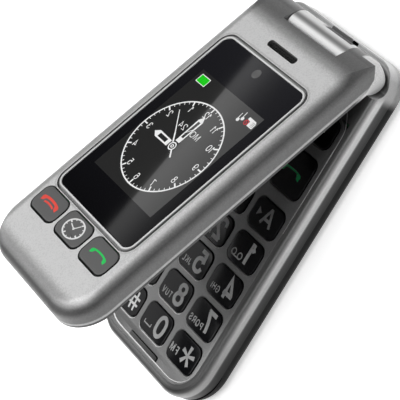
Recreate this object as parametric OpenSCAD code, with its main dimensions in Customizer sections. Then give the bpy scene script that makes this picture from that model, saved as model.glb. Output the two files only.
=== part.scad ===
// Flip phone: a keypad base, a hinged display lid, sprung keys and the inner pieces.
// Base lies on its back, +Z up, +Y toward the hinge, keypad's first column on +X.
// The lid is drawn closed and then turned to the rest pose.

/* [Base] */
// Width of the base across the frame (mm)
body_w = 58; // [52:0.5:64]
// Length of the base from free end to hinge end (mm)
body_l = 118; // [112:0.5:126]
// Height of the base up to the keypad face (mm)
base_h = 11; // [10:0.1:13]
// Plan corner radius at the free end (mm)
corner_free = 13.5; // [10:0.5:15]
// Plan corner radius at the hinge end (mm)
corner_hinge = 9; // [7.5:0.5:10]
// Height of the seam between back housing and frame (mm)
seam_z = 4.5; // [4.3:0.1:4.8]
// Width of the frame band round the keypad plate (mm)
band_w = 3.25; // [3:0.05:3.5]

/* [Lid] */
// Step from the base's side in to the lid's side (mm)
lid_side = 1.2; // [0.8:0.1:1.6]
// Step from the base's free end in to the lid's free end (mm)
lid_short = 2; // [1:0.1:3]
// Thickness of the lid (mm)
lid_t = 8.4; // [8.2:0.1:9]
// Gap between the closed lid and the keypad face (mm)
lid_gap = 0.5; // [0.45:0.05:0.7]
// Plan corner radius of the lid's free end (mm)
lid_corner = 13; // [10:0.5:15]
// Roll-over radius of the lid's outer edges (mm)
lid_roll = 4.2; // [3.6:0.1:4.6]
// Opening angle in the drawn pose (degrees)
lid_rest = 25; // [0:1:60]
// Wall thickness of the lid's outer shell (mm)
lid_wall = 1.2; // [1:0.05:1.3]

/* [Hinge] */
// Hinge axis below the lid's outer face (mm)
hinge_drop = 6.5; // [6.3:0.1:6.8]
// Radius of the barrel and of the lid's ears (mm)
hinge_r = 4.8; // [4.6:0.1:5]
// Hinge axis to the hinge end of the base (mm)
hinge_end = 5.5; // [5.4:0.1:6]
// Left end of the barrel from the centre plane (mm)
barrel_left = 11.6; // [10:0.2:13]
// Right end of the barrel from the centre plane (mm)
barrel_right = 15.4; // [14.6:0.2:16.4]
// Radius of the shaft that turns in the cartridge (mm)
shaft_r = 1.6; // [1.4:0.1:1.8]
// Running clearance of shaft and bush (mm)
run_fit = 0.05; // [0.03:0.01:0.08]

/* [Keypad] */
// Gap between two key columns (mm)
key_gap_x = 2.74; // [2.5:0.02:3]
// Gap between two key rows (mm)
key_gap_y = 2.36; // [2.2:0.02:2.6]
// Plate edge to the outer key columns (mm)
key_side = 2.01; // [1.9:0.01:2.4]
// Free end of the base to the first key row (mm)
key_end = 8.85; // [8.6:0.05:9.4]
// Last digit row to the call keys (mm)
rows_gap = 4.31; // [3.6:0.01:5]
// Height of a call key (mm)
call_h = 13.5; // [12.5:0.1:14]
// Width of the navigation ring (mm)
nav_w = 15.4; // [14.6:0.1:16]
// Height of the navigation ring (mm)
nav_h = 24; // [23:0.1:25]
// Travel of a key (mm)
key_travel = 0.4; // [0.3:0.05:0.4]
// Corner radius of a key (mm)
key_r = 2.6; // [2:0.1:3.2]

/* [Window] */
// Side of the lid to the side of the glass (mm)
glass_side = 6.65; // [6.4:0.05:7.6]
// Hinge axis to the near edge of the glass (mm)
glass_far = 17.58; // [17:0.02:18.5]
// Gap between the glass and the lid keys (mm)
glass_gap = 2.15; // [2.15:0.05:2.6]
// Height of a lid key (mm)
lkey_h = 8.58; // [8:0.02:9]
// Gap between two lid keys (mm)
lkey_gap_x = 1.72; // [1.5:0.02:2]
// Side of the lid to the outer lid keys (mm)
lkey_side = 5.74; // [5.4:0.02:6.4]
// Free end of the lid to the middle of the lid keys (mm)
lkey_end = 20.08; // [19:0.02:21]

/* [Hidden] */
$fn = 48;
e = 0.01;

hw = body_w / 2;
y0 = -body_l / 2;
y1 = body_l / 2;
hinge_y = y1 - hinge_end;
lid_w = body_w - 2 * lid_side;
lid_reach = body_l - hinge_end - lid_short;
lid_top = base_h + lid_gap + lid_t;
lid_low = base_h + lid_gap;
hinge_z = lid_top - hinge_drop;
lhw = lid_w / 2;
ly0 = hinge_y - lid_reach;
lid_seam = lid_low + 0.8;
lid_in = lid_top - lid_wall;
scoop_r = hinge_r + 0.7;
notch_r = hinge_r + 0.4;
notch_gap = 0.3;
bx0 = -barrel_left;
bx1 = barrel_right;
nx0 = bx0 - notch_gap;
nx1 = bx1 + notch_gap;
rear_z = hinge_z - scoop_r;
back_roll = 3.4;
frame_roll = 2.4;
ledge_w = 0.85;
ledge_in = band_w + ledge_w;
plate_t = 1.2;
plate_low = base_h - plate_t;
board_z = seam_z + 2;
board_t = 0.8;
board_top = board_z + board_t;
dome_h = 0.6;
dome_top = board_top + dome_h;
key_proud = 0.35;
key_top = base_h + key_proud;
flange_top = plate_low - 0.2;
flange_t = 0.7;
flange_w = 0.5;
key_gap = 0.15;
nub_low = dome_top + key_travel + 0.05;
plate_hw = hw - band_w;
plate_y1 = hinge_y - 14.8;
plate_gap = 0.2;
call_side = 2.05;
call_gap = 1.4;
call_w = plate_hw - call_side - nav_w / 2 - call_gap;
side_x = plate_hw - call_side - call_w / 2;
soft_w = call_w - 0.7;
soft_h = 9.2;
soft_y = plate_y1 - 1.2 - soft_h / 2;
call_y = soft_y - soft_h / 2 - 3.7 - call_h / 2;
nav_y = plate_y1 - 1.9 - nav_h / 2;
nav_dome = nav_h / 2 - 3.6;
ok_w = nav_w - 7.8;
ok_h = 8.8;
key_w = (2 * plate_hw - 2 * key_side - 2 * key_gap_x) / 3;
key_px = key_w + key_gap_x;
rows_y0 = y0 + key_end;
rows_y1 = call_y - call_h / 2 - rows_gap;
key_h = (rows_y1 - rows_y0 - 4 * key_gap_y) / 5;
key_py = key_h + key_gap_y;
row_y = [for (i = [0 : 4]) rows_y0 + key_h / 2 + i * key_py];
cover_t = 1.2;
cover_side = 7;
cover_y0 = y0 + 7.5;
bay_x = hw - 11.3;
bay_y0 = y0 + 12;
bay_y1 = hinge_y - 45.5;
bay_top = board_z - 0.6;
contact_l = 1.1;
cover_y1 = bay_y1 + 12;
cover_yc = (cover_y0 + cover_y1) / 2;
elec_x = hw - 8;
elec_y0 = bay_y1 + 4;
elec_y1 = hinge_y - 11.5;
sock_y = -2;
sock_hw = 3.8;
sock_t = 2.7;
sock_in = 0.3;
sock_d = 6;
shell_w = 5.6;
post_x = hw - 10;
post_y = y0 + 5.8;
post_r = 1.9;
head_r = 1.6;
head_z0 = 1;
head_z1 = 2.2;
thread_r = 0.65;
screw_spots = [[post_x, post_y], [-post_x, post_y], [hw - 8, y1 - 15], [8 - hw, y1 - 15]];
pad_w = 16;
pad_h = 1.7;
pad_y = y0 + 5.25;
mic_y = y0 + 6.9;
roll_r = 25;
roll_y = hinge_y - sqrt(pow(roll_r - hinge_r, 2) - pow(roll_r - hinge_drop, 2));
cavity_y1 = hinge_y - 7.5;
notch_y = hinge_y - 3;
ear_in = 1;
glass_w = lid_w - 2 * glass_side;
glass_y1 = hinge_y - glass_far;
lkey_y = ly0 + lkey_end;
glass_y0 = lkey_y + lkey_h / 2 + glass_gap;
glass_l = glass_y1 - glass_y0;
glass_yc = (glass_y0 + glass_y1) / 2;
glass_r = 3;
rim_w = 0.8;
rim_groove = 1.5;
rim_out = rim_groove + 0.3;
rim_in = 1.2;
rim_top = lid_top + 0.1;
rim_low = lid_in - 0.7;
glass_low = lid_in + 0.1;
ilcd_top = lid_seam + 2.3;
lboard_t = 0.8;
lboard_top = ilcd_top + lboard_t;
olcd_w = glass_w - 1.7;
olcd_y0 = glass_y0 + 8.5;
olcd_l = glass_l - 18.4;
lkey_w = (lid_w - 2 * lkey_side - 2 * lkey_gap_x) / 3;
lkey_p = lkey_w + lkey_gap_x;
lkey_lip = 0.75;
lkey_gap = 0.35;
lkey_r = 2.6;
lkey_top = lid_top + 0.3;
lkey_travel = 0.3;
ldome_h = 0.3;
cam_y = glass_y1 - 3.9;
spk_y = (glass_y1 + 2.3 + cavity_y1) / 2 - 0.21;
spk_w = 14.5;
spk_h = 2.4;
iglass_w = lid_w - 9.2;
iglass_l = lid_reach - 48.5;
iglass_y = hinge_y - 23.5 - iglass_l / 2;
ear_slot_y = spk_y - 0.4;
cart_r = 2.9;
cart_flat = 2.6;
bush_r = 2.4;
lscrew_x0 = lhw - 7.8;
lscrew_x1 = lhw - 5.8;
lscrew_y0 = ly0 + 8;
lscrew_y1 = hinge_y - 12;
lid_screw_spots = [[lscrew_x0, lscrew_y0], [-lscrew_x0, lscrew_y0], [lscrew_x1, lscrew_y1],
  [-lscrew_x1, lscrew_y1]];
lboard_y0 = lscrew_y0 + 6.08;
lboard_y1 = glass_y1 - 1;
bump_x = lhw - 2.4;
bump_end = 20;
torch_x1 = bx1 - 2;
torch_x0 = torch_x1 - 14.4;
led_x0 = torch_x0 + 1;
led_x1 = torch_x1 - 3;
flex_r = 1.5;

// ---- shared shapes ----

// Quarter disc in the first quadrant.
module quarter(r) {
  intersection() {
    circle(r = r);
    square(r);
  }
}

// Edge section, outer face on x = 0, top outer corner rounded.
module edge2d(w, rr, z0, z1) {
  translate([-w, z0]) square([w - rr, z1 - z0]);
  translate([-w, z0]) square([w, z1 - rr - z0]);
  translate([-rr, z1 - rr]) quarter(rr);
}

// Edge section with the bottom outer corner rounded.
module under2d(w, rr, z0, z1) {
  translate([0, z0 + z1]) mirror([0, 1]) edge2d(w, rr, z0, z1);
}

// Rounded rectangle about the origin.
module rrect(w, h, r) {
  square([w - 2 * r, h], center = true);
  square([w, h - 2 * r], center = true);
  for (sx = [-1, 1])
    for (sy = [-1, 1])
      translate([sx * (w / 2 - r), sy * (h / 2 - r)]) circle(r = r);
}

// Rounded rectangle with one radius per end.
module plan2d(hx, ya, yb, ra, rb) {
  translate([-hx, ya + ra]) square([2 * hx, yb - ya - ra - rb]);
  translate([-(hx - ra), ya]) square([2 * (hx - ra), ra + e]);
  translate([-(hx - rb), yb - rb - e]) square([2 * (hx - rb), rb + e]);
  for (s = [-1, 1]) {
    translate([s * (hx - ra), ya + ra]) circle(r = ra);
    translate([s * (hx - rb), yb - rb]) circle(r = rb);
  }
}

// Section drawn in X-Z carried along +Y.
module along_y(len) {
  translate([0, len, 0]) rotate([90, 0, 0]) linear_extrude(len) children();
}

// Section drawn in Y-Z carried along +X from xa to xb.
module along_x(xa, xb) {
  translate([xa, 0, 0]) rotate([90, 0, 90]) linear_extrude(xb - xa) children();
}

// Section carried round the base outline.
module sweep_base() {
  for (s = [0, 1]) mirror([s, 0, 0]) {
    translate([hw, y0 + corner_free, 0])
      along_y(body_l - corner_free - corner_hinge) children();
    translate([hw - corner_free, y0 + corner_free, 0])
      rotate([0, 0, -90]) rotate_extrude(angle = 90) translate([corner_free, 0]) children();
    translate([hw - corner_hinge, y1 - corner_hinge, 0])
      rotate_extrude(angle = 90) translate([corner_hinge, 0]) children();
  }
  rotate([0, 0, -90]) translate([-y0, -(hw - corner_free), 0])
    along_y(2 * (hw - corner_free)) children();
  rotate([0, 0, 90]) translate([y1, -(hw - corner_hinge), 0])
    along_y(2 * (hw - corner_hinge)) children();
}

// Cylinder along X on the hinge axis.
module axis_cyl(r, xa, xb) {
  translate([xa, hinge_y, hinge_z]) rotate([0, 90, 0]) cylinder(r = r, h = xb - xa);
}

// Turns a closed-lid child into the rest pose.
module in_lid() {
  translate([0, hinge_y, hinge_z]) rotate([-lid_rest, 0, 0])
    translate([0, -hinge_y, -hinge_z]) children();
}

// Lid blank with rolled outer edges, shrunk by "inset".
module lid_slab(inset, yb, zb) {
  hx = lhw - inset;
  rr = lid_roll - inset;
  rc = lid_corner - inset;
  zt = lid_top - inset;
  ya = ly0 + inset;
  for (s = [0, 1]) mirror([s, 0, 0]) {
    translate([hx, ya + rc, 0]) along_y(yb - ya - rc) edge2d(rc, rr, zb, zt);
    translate([hx - rc, ya + rc, 0]) rotate([0, 0, -90])
      rotate_extrude(angle = 90) translate([rc, 0]) edge2d(rc, rr, zb, zt);
  }
  rotate([0, 0, -90]) translate([-ya, -(hx - rc), 0])
    along_y(2 * (hx - rc)) edge2d(rc, rr, zb, zt);
  translate([-(hx - rc), ya + rc, zb]) cube([2 * (hx - rc), yb - ya - rc, zt - zb]);
}

// Side view of the lid's hinge end: flat, long roll, ear.
module lid_side2d() {
  translate([ly0 - 1, lid_low - 1]) square([roll_y - ly0 + 1, lid_t + 2]);
  intersection() {
    translate([roll_y - 0.4, lid_top - roll_r + 0.05]) circle(r = roll_r, $fn = 96);
    translate([roll_y - e, lid_low - 1]) square([hinge_y + 1.5 - roll_y + e, lid_t + 2]);
  }
  translate([hinge_y, hinge_z]) circle(r = hinge_r);
}

// Space kept free round the barrel.
module notch() {
  axis_cyl(notch_r, nx0, nx1);
  translate([nx0, notch_y, hinge_z]) cube([nx1 - nx0, 20, 20]);
  translate([nx0, hinge_y, hinge_z - 12]) cube([nx1 - nx0, 20, 20]);
}

// Pocket of the hinge cartridge: a round with two flats.
module cart_shape(xa, xb) {
  intersection() {
    axis_cyl(cart_r, xa, xb);
    translate([xa, hinge_y - 9, hinge_z - cart_flat]) cube([xb - xa, 18, 2 * cart_flat]);
  }
}

// Bores of both lid ears.
module ear_bores() {
  cart_shape(-lhw + 1.8, nx0 + e);
  axis_cyl(bush_r + run_fit, nx1 - e, nx1 + 8);
  translate([nx1 + 5.4, cavity_y1 - 1, hinge_z - 1.4]) cube([2.4, 8.5, 2.8]);
}

// One key: cap through the plate, flange under it and a nub over its dome.
module keycap(w, h, r) {
  translate([0, 0, flange_top - e]) linear_extrude(key_top - flange_top + e) rrect(w, h, r);
  translate([0, 0, flange_top - flange_t])
    linear_extrude(flange_t) rrect(w + 2 * flange_w, h + 2 * flange_w, r + flange_w);
  translate([0, 0, nub_low]) cylinder(r = 1.3, h = flange_top - nub_low - 0.1);
}

// Places a child on a key grid spot.
module grid(col, row) {
  translate([col * key_px, row_y[row], 0]) children();
}

module digit(col, row) {
  grid(col, row) keycap(key_w, key_h, key_r);
}

// Plate cut-out of a key.
module key_hole(w, h, r) {
  translate([0, 0, plate_low - 1]) linear_extrude(plate_t + 2)
    rrect(w + 2 * key_gap, h + 2 * key_gap, r);
}

// Lid key drawn at the lid's centre line.
module lid_key(col) {
  translate([col * lkey_p, lkey_y, 0]) {
    translate([0, 0, lid_in - 0.8 - e])
      linear_extrude(lkey_top - lid_in + 0.8 + e) rrect(lkey_w, lkey_h, lkey_r);
    translate([0, -lkey_lip / 2, lid_in - 0.8]) linear_extrude(0.6)
      rrect(lkey_w + 2 * lkey_lip, lkey_h + lkey_lip, lkey_r);
    translate([0, 0, lboard_top + ldome_h + lkey_travel + 0.05])
      cylinder(r = 1.3, h = lid_in - 0.7 - (lboard_top + ldome_h + lkey_travel + 0.05));
  }
}

// ---- base pieces ----

module base_frame() {
  color("silver") difference() {
    union() {
      sweep_base() {
        union() {
          edge2d(band_w, frame_roll, seam_z, base_h);
          translate([-ledge_in, board_z]) square([ledge_w + e, plate_low - board_z]);
        }
      }
      translate([-(hw - band_w + e), plate_y1 + plate_gap, board_z])
        cube([2 * (hw - band_w + e), y1 - band_w - plate_y1 - plate_gap + e, base_h - board_z]);
      for (s = [-1, 1])
        translate([s * post_x, post_y, board_z]) cylinder(r = post_r, h = plate_low - board_z);
    }
    axis_cyl(scoop_r, -hw - 1, hw + 1);
    translate([-hw - 1, hinge_y, rear_z]) cube([body_w + 2, 20, 20]);
    translate([-hw - 1, sock_y - sock_hw, seam_z - 1]) cube([hw, 2 * sock_hw, sock_t + 1]);
    for (p = screw_spots) translate([p[0], p[1], 0]) cylinder(r = 0.7, h = base_h - 2);
    translate([-7, plate_y1, board_z - 1]) cube([4, hinge_y - plate_y1, 1.7]);
    translate([-7, hinge_y - 1.3, board_z - 1]) cube([4, 1.4, 4]);
  }
}

module keypad_plate() {
  color("dimgray") difference() {
    translate([0, 0, plate_low]) linear_extrude(plate_t)
      plan2d(hw - band_w, y0 + band_w, plate_y1, corner_free - band_w, 5);
    for (c = [-1 : 1])
      for (r = [0 : 4]) grid(c, r) key_hole(key_w, key_h, key_r);
    for (s = [-1, 1]) {
      translate([s * side_x, call_y, 0]) key_hole(call_w, call_h, key_r);
      translate([s * side_x, soft_y, 0]) key_hole(soft_w, soft_h, key_r);
    }
    translate([0, nav_y, 0]) key_hole(nav_w, nav_h, 4);
    translate([-pad_w / 2, pad_y - pad_h / 2, plate_low - 1]) cube([pad_w, pad_h, plate_t + 2]);
  }
}

module back_housing() {
  color("#2b2b2e") difference() {
    union() {
      sweep_base() {
        union() {
          under2d(shell_w, back_roll, 0, seam_z);
          translate([-shell_w, seam_z - e])
            square([shell_w - band_w - 0.05, board_z - seam_z + e]);
        }
      }
      linear_extrude(board_z)
        plan2d(hw - shell_w + 0.05, y0 + shell_w - 0.05, y1 - shell_w + 0.05,
          corner_free - shell_w + 0.05, corner_hinge - shell_w + 0.05);
    }
    translate([-bay_x, bay_y0, -1]) cube([2 * bay_x, bay_y1 - bay_y0, bay_top + 1]);
    translate([0, cover_yc, -1])
      linear_extrude(cover_t + 1) rrect(2 * (hw - cover_side), cover_y1 - cover_y0, 6);
    translate([-elec_x, elec_y0, cover_t]) cube([2 * elec_x, elec_y1 - elec_y0, 9]);
    for (s = [-1, 1])
      translate([s * (bay_x + 3.2) - 1.6, bay_y0 + 4, cover_t + 1]) cube([3.2, 32, 9]);
    translate([-hw - 1, sock_y - sock_hw, seam_z]) cube([1 + sock_in + sock_d, 2 * sock_hw, 9]);
    for (p = screw_spots) translate([p[0], p[1], -1]) {
      cylinder(r = thread_r + 0.2, h = base_h);
      cylinder(r = head_r + 0.15, h = 1 + head_z1);
    }
    for (i = [0 : 4])
      translate([-12, hinge_y - 24 + i * 1.9, -1]) cube([9, 0.9, 4]);
  }
}

module battery_cover() {
  color("#232326") difference() {
    translate([0, cover_yc, 0])
      linear_extrude(cover_t) rrect(2 * (hw - cover_side), cover_y1 - cover_y0, 6);
    for (i = [0 : 3]) translate([-6, cover_y1 - 5.75 - i * 1.4, -e]) cube([12, 0.7, 0.4]);
  }
}

module battery() {
  color("#50545a") translate([0, (bay_y0 + bay_y1 - contact_l + 0.3) / 2, cover_t])
    linear_extrude(bay_top - cover_t - 0.1)
      rrect(2 * bay_x - 0.6, bay_y1 - contact_l - bay_y0 - 0.3, 1.5);
}

module battery_contacts() {
  color("gold") for (i = [-1 : 1])
    translate([i * 4 - 0.75, bay_y1 - contact_l, cover_t + 1]) cube([1.5, contact_l, 2.6]);
}

module main_board() {
  color("#1f5c3a") difference() {
    translate([0, 0, board_z]) linear_extrude(board_t)
      plan2d(hw - ledge_in - 0.1, y0 + ledge_in + 0.1, plate_y1 + 0.1, corner_free - ledge_in - 0.1, 2);
    for (s = [-1, 1]) translate([s * post_x, post_y, 0]) cylinder(r = post_r + 0.1, h = base_h);
    translate([-hw - 1, sock_y - sock_hw - 0.1, 0])
      cube([1 + sock_in + sock_d, 2 * sock_hw + 0.2, base_h]);
  }
}

module dome() {
  translate([0, 0, board_top]) cylinder(r = 2.5, h = dome_h / 2);
  translate([0, 0, board_top + dome_h / 2 - e]) cylinder(r = 1.5, h = dome_h / 2 + e);
}

module key_domes() {
  color("#c9c9c4") {
    for (c = [-1 : 1])
      for (r = [0 : 4]) grid(c, r) dome();
    for (s = [-1, 1]) {
      translate([s * side_x, call_y, 0]) dome();
      translate([s * side_x, soft_y, 0]) dome();
      translate([0, nav_y + s * nav_dome, 0]) dome();
    }
    translate([0, nav_y, 0]) dome();
  }
}

module end_pad() {
  color("#17171a") translate([-pad_w / 2, pad_y - pad_h / 2, plate_low])
    cube([pad_w, pad_h, plate_t + 0.1]);
}

module hinge_barrel() {
  color("#e6e8ea") difference() {
    union() {
      axis_cyl(hinge_r, bx0, bx1);
      intersection() {
        axis_cyl(scoop_r, bx0, bx1);
        translate([bx0, hinge_y - 9, hinge_z - 9]) cube([bx1 - bx0, 12, 9 - hinge_z + base_h]);
      }
    }
    axis_cyl(hinge_r - 1.1, bx0 + 1.2, bx1 - 1.2);
    translate([bx0 - 1, hinge_y - 1.5, hinge_z - 1.5]) cube([3, 3, 3]);
    axis_cyl(bush_r, bx1 - 2, bx1 + 1);
    translate([torch_x0, hinge_y, hinge_z - 1.2]) cube([torch_x1 - torch_x0, 9, 3]);
    translate([-7, hinge_y - 1.2, hinge_z - 9]) cube([4, 1.2, 6.5]);
  }
}

module hinge_shaft() {
  color("#8d9096") {
    axis_cyl(shaft_r, bx0 - 6.2, bx0);
    translate([bx0 - e, hinge_y - 1.5, hinge_z - 1.5]) cube([1.2 + 2 * e, 3, 3]);
    axis_cyl(2.6, bx0 + 1.2, bx0 + 2);
  }
}

module hinge_bush() {
  color("#b08d4a") difference() {
    union() {
      axis_cyl(bush_r, bx1 - 1.3, bx1 + 5.2);
      axis_cyl(3.2, bx1 - 1.9, bx1 - 1.2);
    }
    axis_cyl(bush_r - 0.6, bx1 - 3, bx1 + 6);
  }
}

module torch_window() {
  color("#6d7074") intersection() {
    difference() {
      axis_cyl(hinge_r, bx0, bx1);
      axis_cyl(hinge_r - 1.1, bx0 - 1, bx1 + 1);
    }
    translate([torch_x0, hinge_y, hinge_z - 1.2]) cube([torch_x1 - torch_x0, 9, 3]);
  }
}

module torch_led() {
  color("#e9e3b8") intersection() {
    axis_cyl(hinge_r - 1.1, led_x0, led_x1);
    translate([led_x0 - 1, hinge_y + flex_r + 0.3, hinge_z - 4.5])
      cube([led_x1 - led_x0 + 2, 3, 5.7]);
  }
}

module loudspeaker() {
  color("#3a3a3c") difference() {
    translate([-7.5, hinge_y - 20, cover_t]) linear_extrude(3.4) rrect(18, 13, 3);
    translate([-7.5, hinge_y - 20, cover_t + 2.6]) cylinder(r = 4.5, h = 3);
  }
}

module vibration_motor() {
  color("#a7a9ac") translate([12, hinge_y - 22, cover_t]) {
    cylinder(r = 4, h = 2.6);
    cylinder(r = 1.2, h = 2.9);
  }
}

module microphone() {
  color("#9a9a94") translate([-1.6, mic_y - 0.9, board_top]) difference() {
    cube([3.2, 1.8, 1.1]);
    translate([1.6, 0.9, 0.7]) cylinder(r = 0.35, h = 1);
  }
}

module charge_socket() {
  color("#b4b6ba") translate([-hw + sock_in, sock_y - sock_hw, seam_z]) {
    difference() {
      cube([sock_d, 2 * sock_hw, sock_t]);
      translate([-1, 0.35, 0.35]) cube([sock_d + 0.4, 2 * sock_hw - 0.7, sock_t - 0.7]);
    }
    translate([1, 1.8, 1.1]) cube([sock_d - 1.4, 2 * sock_hw - 3.6, 0.6]);
  }
}

module base_screws() {
  color("#77797d") for (p = screw_spots) translate([p[0], p[1], 0]) difference() {
    union() {
      translate([0, 0, head_z0]) cylinder(r = head_r, h = head_z1 - head_z0);
      translate([0, 0, head_z1 - 0.2]) cylinder(r = thread_r, h = board_z + 1.1 - head_z1 + 0.2);
    }
    translate([-1, -0.2, head_z0 - 0.1]) cube([2, 0.4, 0.6]);
    translate([-0.2, -1, head_z0 - 0.1]) cube([0.4, 2, 0.6]);
  }
}

module flex_cable() {
  color("#b5762a") {
    difference() {
      axis_cyl(flex_r, -6.6, bx1 + 7);
      axis_cyl(flex_r - 0.2, -7.6, bx1 + 8);
    }
    translate([-6.6, hinge_y - 0.7, board_z + 0.2]) cube([3.2, 0.2, hinge_z - board_z - 1.55]);
    translate([-6.6, plate_y1 + 0.1, board_z + 0.2]) cube([3.2, hinge_y - plate_y1 - 0.6, 0.3]);
  }
}

module key_1() {
  color("#141417") digit(1, 3);
}

module key_2() {
  color("#141417") digit(0, 3);
}

module key_3() {
  color("#141417") digit(-1, 3);
}

module key_4() {
  color("#141417") digit(1, 2);
}

module key_5() {
  color("#141417") digit(0, 2);
}

module key_6() {
  color("#141417") digit(-1, 2);
}

module key_7() {
  color("#141417") digit(1, 1);
}

module key_8() {
  color("#141417") digit(0, 1);
}

module key_9() {
  color("#141417") digit(-1, 1);
}

module key_0() {
  color("#141417") digit(0, 0);
}

module key_star() {
  color("#141417") digit(1, 0);
}

module key_hash() {
  color("#141417") digit(-1, 0);
}

module key_a() {
  color("#141417") digit(1, 4);
}

module key_b() {
  color("#141417") digit(0, 4);
}

module key_c() {
  color("#141417") digit(-1, 4);
}

module key_call() {
  color("#141417") translate([side_x, call_y, 0]) keycap(call_w, call_h, key_r);
}

module key_end() {
  color("#141417") translate([-side_x, call_y, 0]) keycap(call_w, call_h, key_r);
}

module key_soft_r() {
  color("#141417") translate([side_x, soft_y, 0]) keycap(soft_w, soft_h, key_r);
}

module key_soft_l() {
  color("#141417") translate([-side_x, soft_y, 0]) keycap(soft_w, soft_h, key_r);
}

module nav_ring() {
  color("#141417") translate([0, nav_y, 0]) difference() {
    union() {
      translate([0, 0, flange_top - e]) linear_extrude(key_top - flange_top + e) rrect(nav_w, nav_h, 4);
      translate([0, 0, flange_top - flange_t])
        linear_extrude(flange_t) rrect(nav_w + 2 * flange_w, nav_h + 2 * flange_w, 4);
      for (s = [-1, 1]) translate([0, s * nav_dome, nub_low])
        cylinder(r = 1.3, h = flange_top - nub_low - 0.1);
    }
    translate([0, 0, flange_top - 2])
      linear_extrude(base_h) rrect(ok_w + 0.3, ok_h + 0.3, 2.4);
  }
}

module nav_ok() {
  color("#202024") translate([0, nav_y, 0]) {
    translate([0, 0, flange_top - flange_t])
      linear_extrude(key_top - 0.1 - flange_top + flange_t) rrect(ok_w, ok_h, 2.3);
    translate([0, 0, nub_low]) cylinder(r = 1.3, h = flange_top - nub_low - 0.1);
  }
}

// ---- lid pieces, drawn closed ----

module lid_outer() {
  color("silver") in_lid() difference() {
    union() {
      difference() {
        intersection() {
          lid_slab(0, y1 + 4, lid_seam);
          along_x(-lhw - 1, lhw + 1) lid_side2d();
          translate([0, 0, lid_low - 1]) linear_extrude(lid_t + 4)
            plan2d(lhw + e, ly0 - 20, hinge_y + hinge_r, 5, 4.5);
        }
        lid_slab(lid_wall, cavity_y1, lid_low - 1);
      }
      for (p = lid_screw_spots) translate([p[0], p[1], lid_seam + 0.1])
        cylinder(r = 2.1, h = lid_in - lid_seam);
    }
    notch();
    ear_bores();
    for (p = lid_screw_spots) translate([p[0], p[1], lid_low]) cylinder(r = 0.7, h = 5);
    translate([0, glass_yc, rim_low - 1]) linear_extrude(9)
      rrect(glass_w + 2 * rim_groove, glass_l + 2 * rim_groove, glass_r + rim_groove);
    for (c = [-1 : 1]) translate([c * lkey_p, lkey_y, rim_low - 1]) linear_extrude(9)
      rrect(lkey_w + 2 * lkey_gap, lkey_h + 2 * lkey_gap, lkey_r + lkey_gap);
    translate([0, spk_y, lid_in - 1]) linear_extrude(9) rrect(spk_w, spk_h, spk_h / 2 - 0.1);
  }
}

module lid_inner() {
  color("#8f9195") in_lid() difference() {
    union() {
      intersection() {
        translate([0, 0, lid_low]) linear_extrude(lid_seam - lid_low)
          plan2d(lhw, ly0, hinge_y - 2, lid_corner, 1);
        translate([-lhw - 1, ly0 - 1, 0]) cube([lid_w + 2, hinge_y - ly0 - 2, 40]);
      }
      translate([0, 0, lid_seam - e]) linear_extrude(1.4) difference() {
        plan2d(lhw - lid_wall - 0.05, ly0 + lid_wall + 0.05, cavity_y1 - 0.05, lid_corner - lid_wall, 1);
        plan2d(lhw - lid_wall - 1.1, ly0 + lid_wall + 1.1, cavity_y1 - 1.1, lid_corner - lid_wall - 1, 1);
      }
      intersection() {
        axis_cyl(hinge_r, -lhw + ear_in, lhw - ear_in);
        translate([-lhw, hinge_y - 9, hinge_z - 9]) cube([lid_w, 18, 9 - hinge_z + lid_seam]);
        translate([0, 0, 0]) linear_extrude(lid_top)
          plan2d(lhw - ear_in, ly0 - 20, hinge_y + hinge_r, 5, 3.5);
      }
    }
    notch();
    ear_bores();
    translate([0, iglass_y, lid_low - 1]) linear_extrude(9) rrect(iglass_w, iglass_l, 2);
    translate([0, ear_slot_y, lid_low - 1]) linear_extrude(4) rrect(12, 1.6, 0.7);
    for (p = lid_screw_spots) translate([p[0], p[1], lid_low - 1]) {
      cylinder(r = 0.85, h = 9);
      cylinder(r = 1.7, h = 1.4);
    }
    for (p = lid_screw_spots) translate([p[0], p[1], lid_seam]) cylinder(r = 2.2, h = 9);
  }
}

module window_rim() {
  color("#eceef0") in_lid() translate([0, glass_yc, 0]) difference() {
    union() {
      translate([0, 0, rim_low]) linear_extrude(rim_top - rim_low)
        rrect(glass_w + 2 * rim_w, glass_l + 2 * rim_w, glass_r + rim_w);
      translate([0, 0, rim_low]) linear_extrude(lid_in - rim_low)
        rrect(glass_w + 2 * rim_out, glass_l + 2 * rim_out, glass_r + rim_out);
    }
    translate([0, 0, glass_low]) linear_extrude(9) rrect(glass_w, glass_l, glass_r);
    translate([0, 0, rim_low - 1]) linear_extrude(9)
      rrect(glass_w - 2 * rim_in, glass_l - 2 * rim_in, glass_r - rim_in);
  }
}

module outer_glass() {
  color("#101014") in_lid() translate([0, glass_yc, glass_low])
    linear_extrude(lid_top - 0.05 - glass_low) rrect(glass_w, glass_l, glass_r);
}

module outer_display() {
  color("#33363b") in_lid() translate([0, olcd_y0 + olcd_l / 2, lboard_top])
    linear_extrude(rim_low - lboard_top) rrect(olcd_w, olcd_l, 0.8);
}

module inner_glass() {
  color("#121216") in_lid() translate([0, iglass_y, lid_low + 0.05])
    linear_extrude(lid_seam - lid_low - 0.05) rrect(iglass_w, iglass_l, 2);
}

module inner_display() {
  color("#2d2f33") in_lid() translate([0, iglass_y, lid_seam])
    linear_extrude(ilcd_top - lid_seam) rrect(iglass_w + 2, iglass_l + 2, 1);
}

module lid_board() {
  color("#1f5c3a") in_lid() translate([0, (lboard_y0 + lboard_y1) / 2, ilcd_top])
    linear_extrude(lboard_t) rrect(lid_w - 10.6, lboard_y1 - lboard_y0, 1.5);
}

module lid_domes() {
  color("#c9c9c4") in_lid() for (c = [-1 : 1])
    translate([c * lkey_p, lkey_y, lboard_top]) cylinder(r = 2.4, h = ldome_h);
}

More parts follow.
